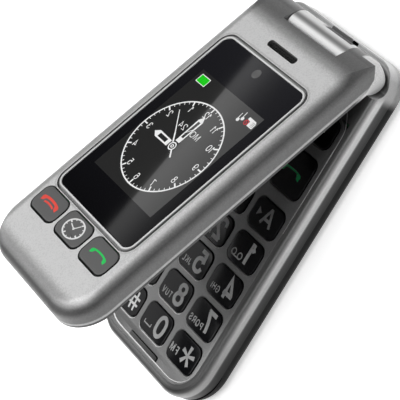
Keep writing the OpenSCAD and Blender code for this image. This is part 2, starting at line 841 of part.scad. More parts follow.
module lid_key_end() {
  color("#5a5c60") in_lid() lid_key(-1);
}

module lid_key_clock() {
  color("#5a5c60") in_lid() lid_key(0);
}

module lid_key_call() {
  color("#5a5c60") in_lid() lid_key(1);
}

module camera_module() {
  color("#4b4d52") in_lid() translate([0, cam_y, lboard_top]) {
    translate([-2.5, -2.6, 0]) cube([5, 4.6, 1.4]);
    difference() {
      cylinder(r = 2.2, h = glass_low - lboard_top);
      translate([0, 0, glass_low - lboard_top - 0.6]) cylinder(r = 1.3, h = 2);
    }
  }
}

module mesh_plate(z, t) {
  translate([0, 0, z]) linear_extrude(t) difference() {
    rrect(spk_w + 2, spk_h + 1.6, 1.2);
    for (i = [-6 : 6])
      for (j = [-1 : 1]) translate([i * 1.05, j * 0.75]) circle(r = 0.25, $fn = 16);
  }
}

module speaker_mesh() {
  color("#3c3d40") in_lid() translate([0, spk_y, 0]) mesh_plate(rim_low, lid_in - rim_low);
}

module earpiece() {
  color("#4a4b4e") in_lid() translate([0, spk_y, lid_seam]) {
    linear_extrude(rim_low - lid_seam) rrect(16, 5, 1);
  }
}

module hinge_cartridge() {
  color("#9a9da2") in_lid() difference() {
    cart_shape(-lhw + 1.8, bx0 - 0.5);
    axis_cyl(shaft_r + run_fit, bx0 - 6.6, bx0 + 1);
  }
}

module lid_magnet() {
  color("#6c6e72") in_lid() translate([-9, ly0 + 7, lid_seam]) cylinder(r = 2, h = 1.6);
}

module lid_screws() {
  color("#77797d") in_lid() for (p = lid_screw_spots) translate([p[0], p[1], lid_low]) {
    translate([0, 0, 0.1]) difference() {
      cylinder(r = 1.5, h = 0.3);
      translate([-0.8, -0.15, -0.5]) cube([1.6, 0.3, 0.65]);
    }
    translate([0, 0, 0.3]) cylinder(r = 0.65, h = 4.2);
  }
}

module lid_bumpers() {
  color("#2a2a2c") in_lid() for (s = [-1, 1]) {
    translate([s * bump_x, ly0 + bump_end, lid_low - 0.4])
      linear_extrude(0.4) rrect(1.6, 7, 0.7);
    translate([s * bump_x, hinge_y - bump_end, lid_low - 0.4])
      linear_extrude(0.4) rrect(1.6, 7, 0.7);
  }
}

base_frame();
keypad_plate();
back_housing();
battery_cover();
battery();
battery_contacts();
main_board();
key_domes();
end_pad();
hinge_barrel();
hinge_shaft();
hinge_bush();
torch_window();
torch_led();
loudspeaker();
vibration_motor();
microphone();
charge_socket();
base_screws();
flex_cable();
key_1();
key_2();
key_3();
key_4();
key_5();
key_6();
key_7();
key_8();
key_9();
key_0();
key_star();
key_hash();
key_a();
key_b();
key_c();
key_call();
key_end();
key_soft_r();
key_soft_l();
nav_ring();
nav_ok();
lid_outer();
lid_inner();
window_rim();
outer_glass();
outer_display();
inner_glass();
inner_display();
lid_board();
lid_domes();
lid_key_end();
lid_key_clock();
lid_key_call();
camera_module();
speaker_mesh();
earpiece();
hinge_cartridge();
lid_magnet();
lid_screws();
lid_bumpers();
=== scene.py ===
"""Looks of a folding phone with its lid part open: finishes, legends, light and camera.

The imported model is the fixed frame. Its shells keep their own solids and get new finishes, and
keys, plate, window and legends are modelled here and ride on the bodies that carry them.
Sizes are in millimetres until the last step of each mesh, which turns them into metres.
"""
from __future__ import annotations

import logging
import math
from dataclasses import dataclass, field
from enum import Enum
from functools import partial
from typing import Callable, Iterable, Sequence, Union

import bmesh
import bpy
from mathutils import Matrix, Vector
from mathutils.geometry import tessellate_polygon

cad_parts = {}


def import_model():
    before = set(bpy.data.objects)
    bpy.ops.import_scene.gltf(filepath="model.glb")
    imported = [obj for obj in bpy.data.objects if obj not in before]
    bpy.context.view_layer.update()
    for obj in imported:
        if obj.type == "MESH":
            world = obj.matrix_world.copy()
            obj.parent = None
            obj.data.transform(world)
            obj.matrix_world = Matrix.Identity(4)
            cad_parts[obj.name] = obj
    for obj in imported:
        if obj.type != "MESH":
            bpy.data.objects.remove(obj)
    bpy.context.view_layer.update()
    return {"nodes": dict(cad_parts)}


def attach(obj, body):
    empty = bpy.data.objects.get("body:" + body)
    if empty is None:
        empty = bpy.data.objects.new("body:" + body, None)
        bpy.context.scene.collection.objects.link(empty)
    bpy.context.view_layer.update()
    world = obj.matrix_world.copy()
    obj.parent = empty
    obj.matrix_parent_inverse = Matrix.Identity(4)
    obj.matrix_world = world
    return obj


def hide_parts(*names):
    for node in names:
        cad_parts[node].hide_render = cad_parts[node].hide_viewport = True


LOG = logging.getLogger("flip_phone")

MM = 0.001
MM_IN_METRE = 1000.0
MIRRORED_LEGENDS = True

Point = tuple[float, float]
Colour = tuple[float, float, float]
Stops = tuple[tuple[float, float], ...]
Height = Callable[[float, float], float]


class Side(Enum):
    """Which part of the phone a printed legend or a mesh belongs to."""

    BASE = "base"
    LID = "lid"


class Axis(Enum):
    """Direction along which a face gets painted shade, as if it started to turn down."""

    ACROSS = "across"
    RUN = "run"


# ---- sizes shared by several pieces ----


@dataclass(frozen=True)
class PhoneSizes:
    """Main sizes of the phone in millimetres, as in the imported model.

    The lid is described closed, with its outer face up, and is then turned to its open pose.

    Attributes:
        plate_z: Height of the key plate's face.
        plate_low: Height of its underside.
        key_top: Height of the base keys.
        hinge_y: Place of the hinge's axis along the base.
        hinge_z: Its height.
        window_z: Height of the lid window's face.
        lid_angle: How far the lid is open.
        row_y: Middles of the key rows from the free end.
        column_x: Distance of the outer key columns from the middle.
        window: Width, length, middle and corner radius of the window's glass.
    """

    plate_z: float = 11.0
    plate_low: float = 9.8
    key_top: float = 11.35
    hinge_y: float = 53.5
    hinge_z: float = 13.4
    window_z: float = 19.85
    lid_angle: float = 25.0
    row_y: tuple[float, ...] = (-45.4, -33.54, -21.68, -9.82, 2.04)
    column_x: float = 16.74
    window: tuple[float, float, float, float] = (42.3, 66.4, 2.72, 3.0)

    def pivot(self) -> Vector:
        """A point of the hinge's axis."""
        return Vector((0.0, self.hinge_y, self.hinge_z))

    def lid_turn(self) -> Matrix:
        """Turn of the lid from closed to its open pose, in millimetres."""
        pivot, turn = self.pivot(), Matrix.Rotation(math.radians(-self.lid_angle), 4, "X")
        return Matrix.Translation(pivot) @ turn @ Matrix.Translation(-pivot)

    def turn_of(self, side: Side) -> Matrix:
        """Turn of what is drawn on one part of the phone."""
        return self.lid_turn() if side is Side.LID else Matrix.Identity(4)

    def lid_axes(self) -> tuple[Vector, Vector]:
        """Directions of the open lid's length and of its outer face."""
        turn = self.lid_turn().to_3x3()
        return turn @ Vector((0, 1, 0)), turn @ Vector((0, 0, 1))


SIZES = PhoneSizes()
LID_ALONG, LID_UP = SIZES.lid_axes()


# ---- shader maths ----


@dataclass(frozen=True)
class Value:
    """A number socket that takes part in written shader maths.

    Attributes:
        graph: The graph that owns the socket.
        socket: The output socket that carries the number.
    """

    graph: "Graph"
    socket: bpy.types.NodeSocket

    def _join(self, operation: str, left: "Number", right: "Number" = 0.0) -> "Value":
        """The result of one Math node."""
        node = self.graph.node("ShaderNodeMath", {"operation": operation}, {0: left, 1: right})
        return self.graph.number(node)

    def __add__(self, other: "Number") -> "Value":
        """self + other."""
        return self._join("ADD", self, other)

    def __sub__(self, other: "Number") -> "Value":
        """self - other."""
        return self._join("SUBTRACT", self, other)

    def __rsub__(self, other: "Number") -> "Value":
        """other - self."""
        return self._join("SUBTRACT", other, self)

    def __mul__(self, other: "Number") -> "Value":
        """self * other."""
        return self._join("MULTIPLY", self, other)

    def __truediv__(self, other: "Number") -> "Value":
        """self / other."""
        return self._join("DIVIDE", self, other)

    def __rtruediv__(self, other: "Number") -> "Value":
        """other / self."""
        return self._join("DIVIDE", other, self)

    def __abs__(self) -> "Value":
        """Absolute value."""
        return self._join("ABSOLUTE", self)

    __radd__ = __add__
    __rmul__ = __mul__

    def greater(self, other: "Number") -> "Value":
        """The larger of two numbers."""
        return self._join("MAXIMUM", self, other)

    def root(self) -> "Value":
        """The square root."""
        return self._join("SQRT", self)

    def step(self, low: float, high: float) -> "Value":
        """Smooth step from 0 at low to 1 at high.

        Args:
            low: Where the step begins.
            high: Where it ends.

        Returns:
            A number from 0 to 1.
        """
        settings = {"interpolation_type": "SMOOTHSTEP", "clamp": True}
        ends = {"Value": self, "From Min": low, "From Max": high, "To Min": 0.0, "To Max": 1.0}
        return self.graph.number(self.graph.node("ShaderNodeMapRange", settings, ends))


Number = Union[Value, float, int]
Link = Union[Value, bpy.types.NodeSocket, float, int, Sequence[float]]


class Graph:
    """The node tree of one material or of the world, with one way to add a node."""

    def __init__(self, tree: bpy.types.NodeTree) -> None:
        """Takes a tree and empties it."""
        self.tree = tree
        tree.nodes.clear()

    def node(
        self,
        kind: str,
        settings: dict[str, object] | None = None,
        sockets: dict[int | str, Link] | None = None,
    ) -> bpy.types.Node:
        """Adds one node.

        Args:
            kind: The node's type name.
            settings: Its settings, set first. "stops" fills a colour ramp.
            sockets: Values or links of its input sockets, by name or index.

        Returns:
            The new node.
        """
        made = self.tree.nodes.new(kind)
        for name, value in (settings or {}).items():
            if name == "stops":
                self._fill_ramp(made.color_ramp, value)
            else:
                setattr(made, name, value)
        for key, value in (sockets or {}).items():
            link = value.socket if isinstance(value, Value) else value
            if isinstance(link, bpy.types.NodeSocket):
                self.tree.links.new(link, made.inputs[key])
            else:
                made.inputs[key].default_value = link
        return made

    @staticmethod
    def _fill_ramp(ramp: bpy.types.ColorRamp, stops: Sequence[tuple[float, Colour]]) -> None:
        """Fills a colour ramp.

        Args:
            ramp: The ramp.
            stops: Positions and colours in rising order.
        """
        while len(ramp.elements) < len(stops):
            ramp.elements.new(1.0)
        for element, (place, colour) in zip(ramp.elements, stops):
            element.position = place
            element.color = (*colour, 1.0)

    def number(self, node: bpy.types.Node, output: int | str = 0) -> Value:
        """A node's output as a number."""
        return Value(self, node.outputs[output])

    def place(self) -> bpy.types.NodeSocket:
        """The point on the object in the row frame, in metres."""
        return self.node("ShaderNodeTexCoord").outputs["Object"]

    def _dot(self, vector: bpy.types.NodeSocket, direction: Sequence[float]) -> Value:
        """How far a vector reaches along a direction.

        Args:
            vector: The vector's socket.
            direction: The direction in the row frame.

        Returns:
            The reach.
        """
        sockets = {0: vector, 1: tuple(direction)}
        node = self.node("ShaderNodeVectorMath", {"operation": "DOT_PRODUCT"}, sockets)
        return self.number(node, "Value")

    def along(self, direction: Sequence[float]) -> Value:
        """The point's reach along a direction of the row frame, in millimetres."""
        return self._dot(self.place(), [MM_IN_METRE * part for part in direction])

    def facing(self, direction: Sequence[float]) -> Value:
        """How far the surface faces a direction of the row frame, from -1 to 1."""
        return self._dot(self.node("ShaderNodeTexCoord").outputs["Normal"], direction)

    def noise(self, size_mm: float, detail: float = 2.0, stretch: Colour = (1, 1, 1)) -> Value:
        """Noise whose lumps are about a given size.

        Args:
            size_mm: Size of a lump.
            detail: Octaves of finer noise.
            stretch: Scale of the three axes.

        Returns:
            A number about 0.5.
        """
        ends = {0: self.place(), 1: stretch}
        point = self.node("ShaderNodeVectorMath", {"operation": "MULTIPLY"}, ends).outputs[0]
        sockets = {"Vector": point, "Scale": MM_IN_METRE / size_mm, "Detail": detail}
        return self.number(self.node("ShaderNodeTexNoise", None, sockets), "Fac")

    def cells(self, size_mm: float) -> Value:
        """A random number for each cell of about a given size, as paint flakes have."""
        sockets = {"Vector": self.place(), "Scale": MM_IN_METRE / size_mm}
        return self.lightness(self.node("ShaderNodeTexVoronoi", None, sockets).outputs["Color"])

    def lightness(self, colour: bpy.types.NodeSocket) -> Value:
        """The lightness of a neutral colour."""
        return self.number(self.node("ShaderNodeSeparateColor", None, {0: colour}))

    def blend(self, factor: Number, first: Link, second: Link) -> bpy.types.NodeSocket:
        """Mixes two colours.

        Args:
            factor: 0 gives the first and 1 the second.
            first: A colour or a link.
            second: A colour or a link.

        Returns:
            The mixed colour's socket.
        """
        sockets: dict[int | str, Link] = {0: factor}
        for key, colour in ((6, first), (7, second)):
            sockets[key] = (*colour, 1.0) if isinstance(colour, tuple) else colour
        return self.node("ShaderNodeMix", {"data_type": "RGBA"}, sockets).outputs[2]

    def neutral(self, level: Number) -> bpy.types.NodeSocket:
        """A neutral colour whose lightness is a number of the graph."""
        return self.blend(level, grey(0.0), grey(1.0))

    def stops(self, factor: Value, stops: Stops) -> Value:
        """A number that follows another one between given stops.

        Args:
            factor: The number that is followed.
            stops: Places and results in rising order.

        Returns:
            The result.
        """
        low, high = stops[0][0], stops[-1][0]
        peak = max(tone for _, tone in stops)
        shades = [((place - low) / (high - low), grey(tone / peak)) for place, tone in stops]
        share = (factor - low) / (high - low)
        ramp = self.node("ShaderNodeValToRGB", {"stops": shades}, {0: share})
        return self.lightness(ramp.outputs[0]) * peak

    def lid_run(self) -> Value:
        """The point's place along the closed lid, in millimetres."""
        return self.along(LID_ALONG) + (SIZES.hinge_y - LID_ALONG.dot(SIZES.pivot()))

    def lid_height(self) -> Value:
        """The point's height on the closed lid, in millimetres."""
        return self.along(LID_UP) + (SIZES.hinge_z - LID_UP.dot(SIZES.pivot()))

    def beyond_window(self) -> Value:
        """Distance from the lid window's outline, in millimetres.

        Returns:
            The distance, less than 0 inside the outline.
        """
        width, length, middle, radius = SIZES.window
        across = (abs(self.along((1, 0, 0))) - (width / 2 - radius)).greater(0.0)
        run = (abs(self.lid_run() - middle) - (length / 2 - radius)).greater(0.0)
        return (across * across + run * run).root() - radius

    def bump(self, height: Value, distance_mm: float) -> bpy.types.NodeSocket:
        """A normal from a height from 0 to 1, where 1 stands for a distance."""
        sockets = {"Strength": 1.0, "Distance": distance_mm * MM, "Height": height}
        return self.node("ShaderNodeBump", None, sockets).outputs[0]


# ---- finishes ----


def grey(level: float) -> Colour:
    """A neutral colour."""
    return (level, level, level)


def screen(*parts: int) -> Colour:
    """A colour read on a screen, from 0 to 255, as linear light.

    Args:
        *parts: Red, green and blue.

    Returns:
        The colour.
    """
    shares = (part / 255 for part in parts)
    return tuple(s / 12.92 if s <= 0.04045 else ((s + 0.055) / 1.055) ** 2.4 for s in shares)


def scaled(colour: Colour, factor: float) -> Colour:
    """A colour made lighter or darker."""
    return tuple(min(1.0, part * factor) for part in colour)


@dataclass(frozen=True)
class Finish:
    """A finish with a fine grain, a soft cloudiness and a worn, uneven gloss.

    Attributes:
        name: Name of the material.
        colour: Main colour as linear light.
        roughness: Mean roughness.
        metallic: Share of metal.
        coat: Weight of a clear coat.
        coat_roughness: Roughness of the coat.
        grain_mm: Size of the grain.
        grain_tone: Lightness change of the grain.
        grain_bump_mm: Height of the grain.
        cloud_mm: Size of the slow changes.
        cloud_tone: Lightness change of the slow changes.
        gloss_change: Change of the roughness.
        specular: Specular level.
        glow: Strength of its own light.
    """

    name: str
    colour: Colour
    roughness: float = 0.4
    metallic: float = 0.0
    coat: float = 0.0
    coat_roughness: float = 0.06
    grain_mm: float = 0.3
    grain_tone: float = 0.04
    grain_bump_mm: float = 0.004
    cloud_mm: float = 14.0
    cloud_tone: float = 0.03
    gloss_change: float = 0.05
    specular: float = 0.5
    glow: float | None = None

    def material(self) -> bpy.types.Material:
        """The finish as a material, made once.

        Returns:
            The material.
        """
        known = bpy.data.materials.get(self.name)
        if known is not None:
            return known
        made = bpy.data.materials.new(self.name)
        made.use_nodes = True
        graph = Graph(made.node_tree)
        sockets = {
            "Base Color": self.tint(graph),
            "Roughness": self.gloss(graph),
            "Metallic": self.metallic,
            "Normal": self.relief(graph),
            "Coat Weight": self.coat,
            "Coat Roughness": self.coat_roughness,
            "Specular IOR Level": self.specular,
        }
        if self.glow is not None:
            sockets |= {"Emission Color": (*self.colour, 1.0), "Emission Strength": self.glow}
        shader = graph.node("ShaderNodeBsdfPrincipled", None, sockets)
        graph.node("ShaderNodeOutputMaterial", None, {"Surface": shader.outputs[0]})
        made.diffuse_color = (*self.colour, 1.0)
        return made

    def tint(self, graph: Graph) -> Link:
        """The base colour: grain and clouds over the main colour.

        Args:
            graph: The material's graph.

        Returns:
            The colour.
        """
        total = self.grain_tone + self.cloud_tone
        ends = (scaled(self.colour, 1 - total), scaled(self.colour, 1 + total))
        parts = ((self.grain_mm, self.grain_tone), (self.cloud_mm, self.cloud_tone))
        grain, cloud = (graph.noise(size) * (tone / (total + 1e-6)) for size, tone in parts)
        return graph.blend(grain + cloud, *ends)

    def grained(self, graph: Graph, tone: Value) -> Value:
        """A tone with a faint grain."""
        grain = graph.noise(self.grain_mm) * (2 * self.grain_tone) + (1.0 - self.grain_tone)
        return tone * grain

    def gloss(self, graph: Graph) -> Link:
        """The roughness, slightly uneven as handled surfaces are."""
        low = max(0.02, self.roughness - self.gloss_change)
        return graph.noise(self.cloud_mm * 0.6) * (2 * self.gloss_change) + low

    def relief(self, graph: Graph) -> bpy.types.NodeSocket:
        """The fine relief of the grain."""
        return graph.bump(graph.noise(self.grain_mm), self.grain_bump_mm)


@dataclass(frozen=True)
class FlakePaint(Finish):
    """Metal-flake paint with painted shade: darker where the surface turns to the side.

    Attributes:
        side: Whether the painted piece is part of the base or of the lid.
        turn_tone: Painted shade and light by how far the surface faces up, from 0 to 1.
        height_tone: Painted shade and light by the height on the part, in millimetres.
        run_tone: Painted shade and light by the place along the part, in millimetres.
        ease: Painted shade as if the face turned down: where on an axis it starts, ends, and how
            far.
        flake_mm: Size of a flake.
        flake_tone: Lightness change of the flakes.
    """

    side: Side = Side.BASE
    turn_tone: Stops = ((0.0, 1.0), (1.0, 1.0))
    height_tone: Stops = ((0.0, 1.0), (20.0, 1.0))
    run_tone: Stops = ((-60.0, 1.0), (60.0, 1.0))
    ease: tuple[tuple[Axis, float, float, float], ...] = ()
    flake_mm: float = 0.22
    flake_tone: float = 0.1

    def _flakes(self, graph: Graph) -> Value:
        """Flakes and grain, about 0.5."""
        return graph.cells(self.flake_mm) * 0.5 + graph.noise(self.grain_mm) * 0.5

    def tint(self, graph: Graph) -> Link:
        """Painted shade and light by facing, height and place, times flakes and clouds.

        Args:
            graph: The material's graph.

        Returns:
            The colour.
        """
        if self.side is Side.LID:
            up, height, run = LID_UP, graph.lid_height(), graph.lid_run()
        else:
            up, height, run = (0, 0, 1), graph.along((0, 0, 1)), graph.along((0, 1, 0))
        facing = graph.facing(up)
        # painted shade: the facing is lowered as if the face turned down
        for axis, start, end, fall in self.ease:
            place = run if axis is Axis.RUN else graph.along((1, 0, 0))
            facing = facing - place.step(start, end) * fall
        # painted shade and light by facing, height and place along the part
        tone = graph.stops(facing.greater(0.0), self.turn_tone)
        tone = tone * graph.stops(height, self.height_tone) * graph.stops(run, self.run_tone)
        flakes = (self._flakes(graph) - 0.5) * (2 * self.flake_tone)
        cloud = (graph.noise(self.cloud_mm) - 0.5) * (2 * self.cloud_tone)
        total = self.retouch(graph, tone) * (flakes + cloud + 1.0)
        return graph.blend(total, grey(0.0), self.colour)

    def retouch(self, graph: Graph, tone: Value) -> Value:
        """Room for the tones that a special paint changes."""
        return tone

    def relief(self, graph: Graph) -> bpy.types.NodeSocket:
        """Flakes lie at slightly different angles under the lacquer."""
        return graph.bump(self._flakes(graph), self.grain_bump_mm)


@dataclass(frozen=True)
class PlatePaint(FlakePaint):
    """Paint of the key plate with painted highlights on the hinge-facing chamfers of its wells.

    Attributes:
        polish: Tone of the painted highlights on the chamfers.
        edge_way: Direction that these edges face.
        edge_from: Where, by how far a face looks that way, the highlight starts and is complete.
        dim_from: Where across the plate the painted highlight starts to fade, and where it has
            gone.
        dim: How much of it fades.
        rim_from: Where the painted lighter strip at the free end starts, and where it is complete.
        rim_gain: How much lighter this strip is.
    """

    polish: float = 4.0
    edge_way: Colour = (-0.25, 0.97, 0.0)
    edge_from: Point = (0.3, 0.6)
    dim_from: Point = (6.0, 16.0)
    dim: float = 0.75
    rim_from: Point = (-54.4, -54.6)
    rim_gain: float = 0.4

    def retouch(self, graph: Graph, tone: Value) -> Value:
        """Painted highlights on hinge-facing chamfers, and painted light at the free end.

        Args:
            graph: The material's graph.
            tone: The plain tone.

        Returns:
            The changed tone.
        """
        # painted highlight on chamfers facing the hinge, and a painted lighter strip at the free
        # end
        edge = graph.facing(self.edge_way).step(*self.edge_from)
        share = 1.0 - graph.along((1, 0, 0)).step(*self.dim_from) * self.dim
        rim = graph.along((0, 1, 0)).step(*self.rim_from) * self.rim_gain
        return tone * (edge * share * (self.polish - 1.0) + 1.0) * (rim + 1.0)


@dataclass(frozen=True)
class LidPaint(FlakePaint):
    """Lid shell paint: painted shade beside the window and on the ears, and light ends of the ears.

    Attributes:
        cut: Painted shade line by the distance from the window's glass.
        ear_from: Where along the lid the ears' painted shade starts, and where it is complete.
        ear_share: Share of that tone.
        ear_dark: Tone of the ears' painted shade.
        end_from: Where along the lid their light ends start, and where they are complete.
        ear_x: Distance from the middle where the light ends start.
        ear_line: Height of the light ends' edge by the place along the lid.
        ear_tone: Tone of the light ends.
        ear_soft: Half the width of their edge, by height and across.
    """

    cut: Stops = ((-5.0, 1.0), (1.7, 1.0), (1.82, 0.72), (2.1, 0.82), (2.5, 1.0), (60.0, 1.0))
    ear_from: Point = (48.0, 52.5)
    ear_share: float = 0.85
    ear_dark: float = 0.2
    end_from: Point = (49.0, 50.0)
    ear_x: float = 21.0
    ear_line: Stops = ((44.0, 9.7), (50.36, 12.7), (53.3, 14.1), (56.6, 18.9), (60.0, 23.8))
    ear_tone: float = 0.9
    ear_soft: Point = (0.2, 0.5)

    def retouch(self, graph: Graph, tone: Value) -> Value:
        """Adds the painted shade line, the ears' painted shade and the light ends.

        Args:
            graph: The material's graph.
            tone: The plain tone.

        Returns:
            The changed tone.
        """
        run, across = graph.lid_run(), abs(graph.along((1, 0, 0)))
        # painted shade on the ears towards the hinge
        ear = run.step(*self.ear_from) * self.ear_share
        tone = tone * (1.0 - ear) + ear * self.ear_dark
        under = graph.stops(run, self.ear_line) - graph.lid_height()
        high, wide = self.ear_soft
        share = under.step(-high, high) * across.step(self.ear_x - wide, self.ear_x + wide)
        share = share * run.step(*self.end_from)
        # painted shade line beside the window
        cut = graph.stops(graph.beyond_window(), self.cut)
        return tone * cut * (1.0 - share) + share * self.ear_tone


@dataclass(frozen=True)
class RimPaint(FlakePaint):
    """Plating of the window's rim: a painted highlight line at the glass, painted shade beyond it.

    Attributes:
        across: Painted highlight and shade by the distance from the glass.
    """

    across: Stops = ((-4.0, 1.0), (0.42, 1.0), (0.55, 0.4), (0.8, 0.4), (0.85, 0.55), (6.0, 0.55))

    def retouch(self, graph: Graph, tone: Value) -> Value:
        """The painted highlight and shade by the distance from the glass."""
        return tone * graph.stops(graph.beyond_window(), self.across)


@dataclass(frozen=True)
class HingeEndPaint(FlakePaint):
    """Painted light at the base's hinge end, with painted light and shade lines along its ledge.

    Attributes:
        start: Where along the base the painted light of the end starts, and where it is complete.
        wall: Painted light of the end's walls, by how far they face the hinge end.
        ledge: Painted light and shade lines of the ledge, by the distance from the outline.
        outline: Half the width between the outline's corners, where they start along the base,
            and their radius.
        drift: How much nearer to the outline these lines lie, by the place along the base.
        ledge_top: Height under which the ledge lies.
        ledge_soft: Half the width of this border.
        ledge_up: Where, by how far a face looks up, the ledge's tone starts and is complete.
        wall_up: The same for the tone of the walls.
        free_from: Where along the base the free end's painted light starts, and where it is
            complete.
        free_side: Where across the base it starts, and where it is complete.
        free_gain: How much lighter it is.
    """

    start: Point = (47.5, 51.0)
    wall: Stops = ((-1.0, 0.55), (0.6, 0.55), (0.95, 1.0), (1.0, 1.0))
    ledge: Stops = (
        (-1.0, 1.0), (0.0, 1.0), (0.4, 0.9), (0.8, 0.75), (1.2, 0.75), (1.6, 1.0), (2.0, 0.85),
        (2.4, 0.55), (2.8, 0.3), (3.2, 0.15), (9.0, 0.1),
    )  # fmt: skip
    outline: Colour = (20.0, 50.0, 9.0)
    drift: Stops = ((50.0, 3.2), (53.1, 2.6), (55.8, 1.5), (57.8, 0.6), (58.9, 0.0), (60.0, 0.0))
    ledge_top: float = 8.3
    ledge_soft: float = 0.2
    ledge_up: Point = (0.75, 0.95)
    wall_up: Point = (0.75, 0.4)
    free_from: Point = (-51.5, -54.5)
    free_side: Point = (22.0, 12.0)
    free_gain: float = 1.1

    def retouch(self, graph: Graph, tone: Value) -> Value:
        """Adds the painted light at the hinge end and at the free end.

        Args:
            graph: The material's graph.
            tone: The plain tone.

        Returns:
            The changed tone.
        """
        side, run, height = (graph.along(way) for way in ((1, 0, 0), (0, 1, 0), (0, 0, 1)))
        corner_x, corner_y, radius = self.outline
        across = (abs(side) - corner_x).greater(0.0)
        past = (run - corner_y).greater(0.0)
        inset = radius - (across * across + past * past).root() + graph.stops(run, self.drift)
        low = height.step(self.ledge_top + self.ledge_soft, self.ledge_top - self.ledge_soft)
        upward = graph.facing((0, 0, 1)).step(*self.ledge_up) * low
        # painted light on walls facing the hinge end, painted light and shade lines on the ledge
        wall = graph.stops(graph.facing((0, 1, 0)), self.wall)
        end = wall + upward * (graph.stops(inset, self.ledge) - wall)
        level = graph.facing((0, 0, 1)).step(*self.wall_up)
        share = run.step(*self.start) * (level + upward - level * upward)
        # painted lighter free end
        free = run.step(*self.free_from) * side.step(*self.free_side)
        return tone * (1.0 - share) * (free * self.free_gain + 1.0) + end * share


@dataclass(frozen=True)
class PadFinish(Finish):
    """Dark pad strip, darker towards one end and black at its tip.

    Attributes:
        shade: Tone by the place across the phone.
    """

    shade: Stops = ((-8.0, 0.06), (0.0, 0.036), (6.6, 0.02), (7.1, 0.002), (8.0, 0.002))

    def tint(self, graph: Graph) -> Link:
        """The shade with a faint grain."""
        tone = graph.stops(graph.along((1, 0, 0)), self.shade)
        return graph.neutral(self.grained(graph, tone))


@dataclass(frozen=True)
class TorchFinish(Finish):
    """Smoked torch window with a pale end that is painted light.

    Attributes:
        pale: Tone by the place across the phone; the pale end is painted light.
    """

    pale: Stops = ((-1.2, 0.85), (0.2, 0.85), (0.7, 0.17), (11.0, 0.13), (13.4, 0.11))

    def tint(self, graph: Graph) -> Link:
        """Smoke grey with the painted light of the pale end."""
        return graph.neutral(graph.stops(graph.along((1, 0, 0)), self.pale))


@dataclass(frozen=True)
class BarrelLacquer(Finish):
    """White lacquer of the barrel with one soft grey stripe along it, a painted dark reflection.

    Attributes:
        stripe: Painted dark reflection by how far the surface faces the hinge end.
    """

    stripe: Stops = (
        (-1.0, 1.0), (0.28, 1.0), (0.38, 0.75), (0.48, 0.36), (0.59, 0.22), (0.68, 0.32),
        (0.77, 0.65), (0.84, 0.9), (1.0, 1.0),
    )  # fmt: skip

    def tint(self, graph: Graph) -> Link:
        """White with the painted reflection stripe and a faint grain."""
        tone = graph.stops(graph.facing((0, 1, 0)), self.stripe)
        return graph.blend(self.grained(graph, tone), grey(0.0), self.colour)


@dataclass(frozen=True)
class BrushedMetal(Finish):
    """Turned or drawn metal with fine streaks along one axis.

    Attributes:
        streak: Scale of the streaks along the three axes.
    """

    streak: Colour = (0.06, 1.0, 1.0)

    def relief(self, graph: Graph) -> bpy.types.NodeSocket:
        """Fine streaks."""
        return graph.bump(graph.noise(self.grain_mm, 3.0, self.streak), self.grain_bump_mm)

    def gloss(self, graph: Graph) -> Link:
        """Streaky gloss."""
        low = max(0.02, self.roughness - self.gloss_change)
        return graph.noise(self.grain_mm, 3.0, self.streak) * (2 * self.gloss_change) + low


@dataclass(frozen=True)
class BoardFinish(Finish):
    """Green circuit board with copper tracks under the lacquer.

    Attributes:
        pitch_mm: Distance of the tracks.
    """

    pitch_mm: float = 7.2

    def _tracks(self, graph: Graph) -> Value:
        """Where the tracks run.

        Args:
            graph: The material's graph.

        Returns:
            A number from 0 to 1.
        """
        sockets = {
            "Vector": graph.place(),
            "Scale": MM_IN_METRE / self.pitch_mm,
            "Mortar Size": 0.035,
            "Color1": (0, 0, 0, 1),
            "Color2": (0, 0, 0, 1),
            "Mortar": (1, 1, 1, 1),
        }
        node = graph.node("ShaderNodeTexBrick", {"offset": 0.37, "squash": 1.6}, sockets)
        return graph.lightness(node.outputs[0])

    def tint(self, graph: Graph) -> Link:
        """Lacquer over tracks."""
        return graph.blend(self._tracks(graph), self.colour, scaled(self.colour, 2.6))

    def relief(self, graph: Graph) -> bpy.types.NodeSocket:
        """Tracks stand a little proud."""
        return graph.bump(self._tracks(graph), 0.03)


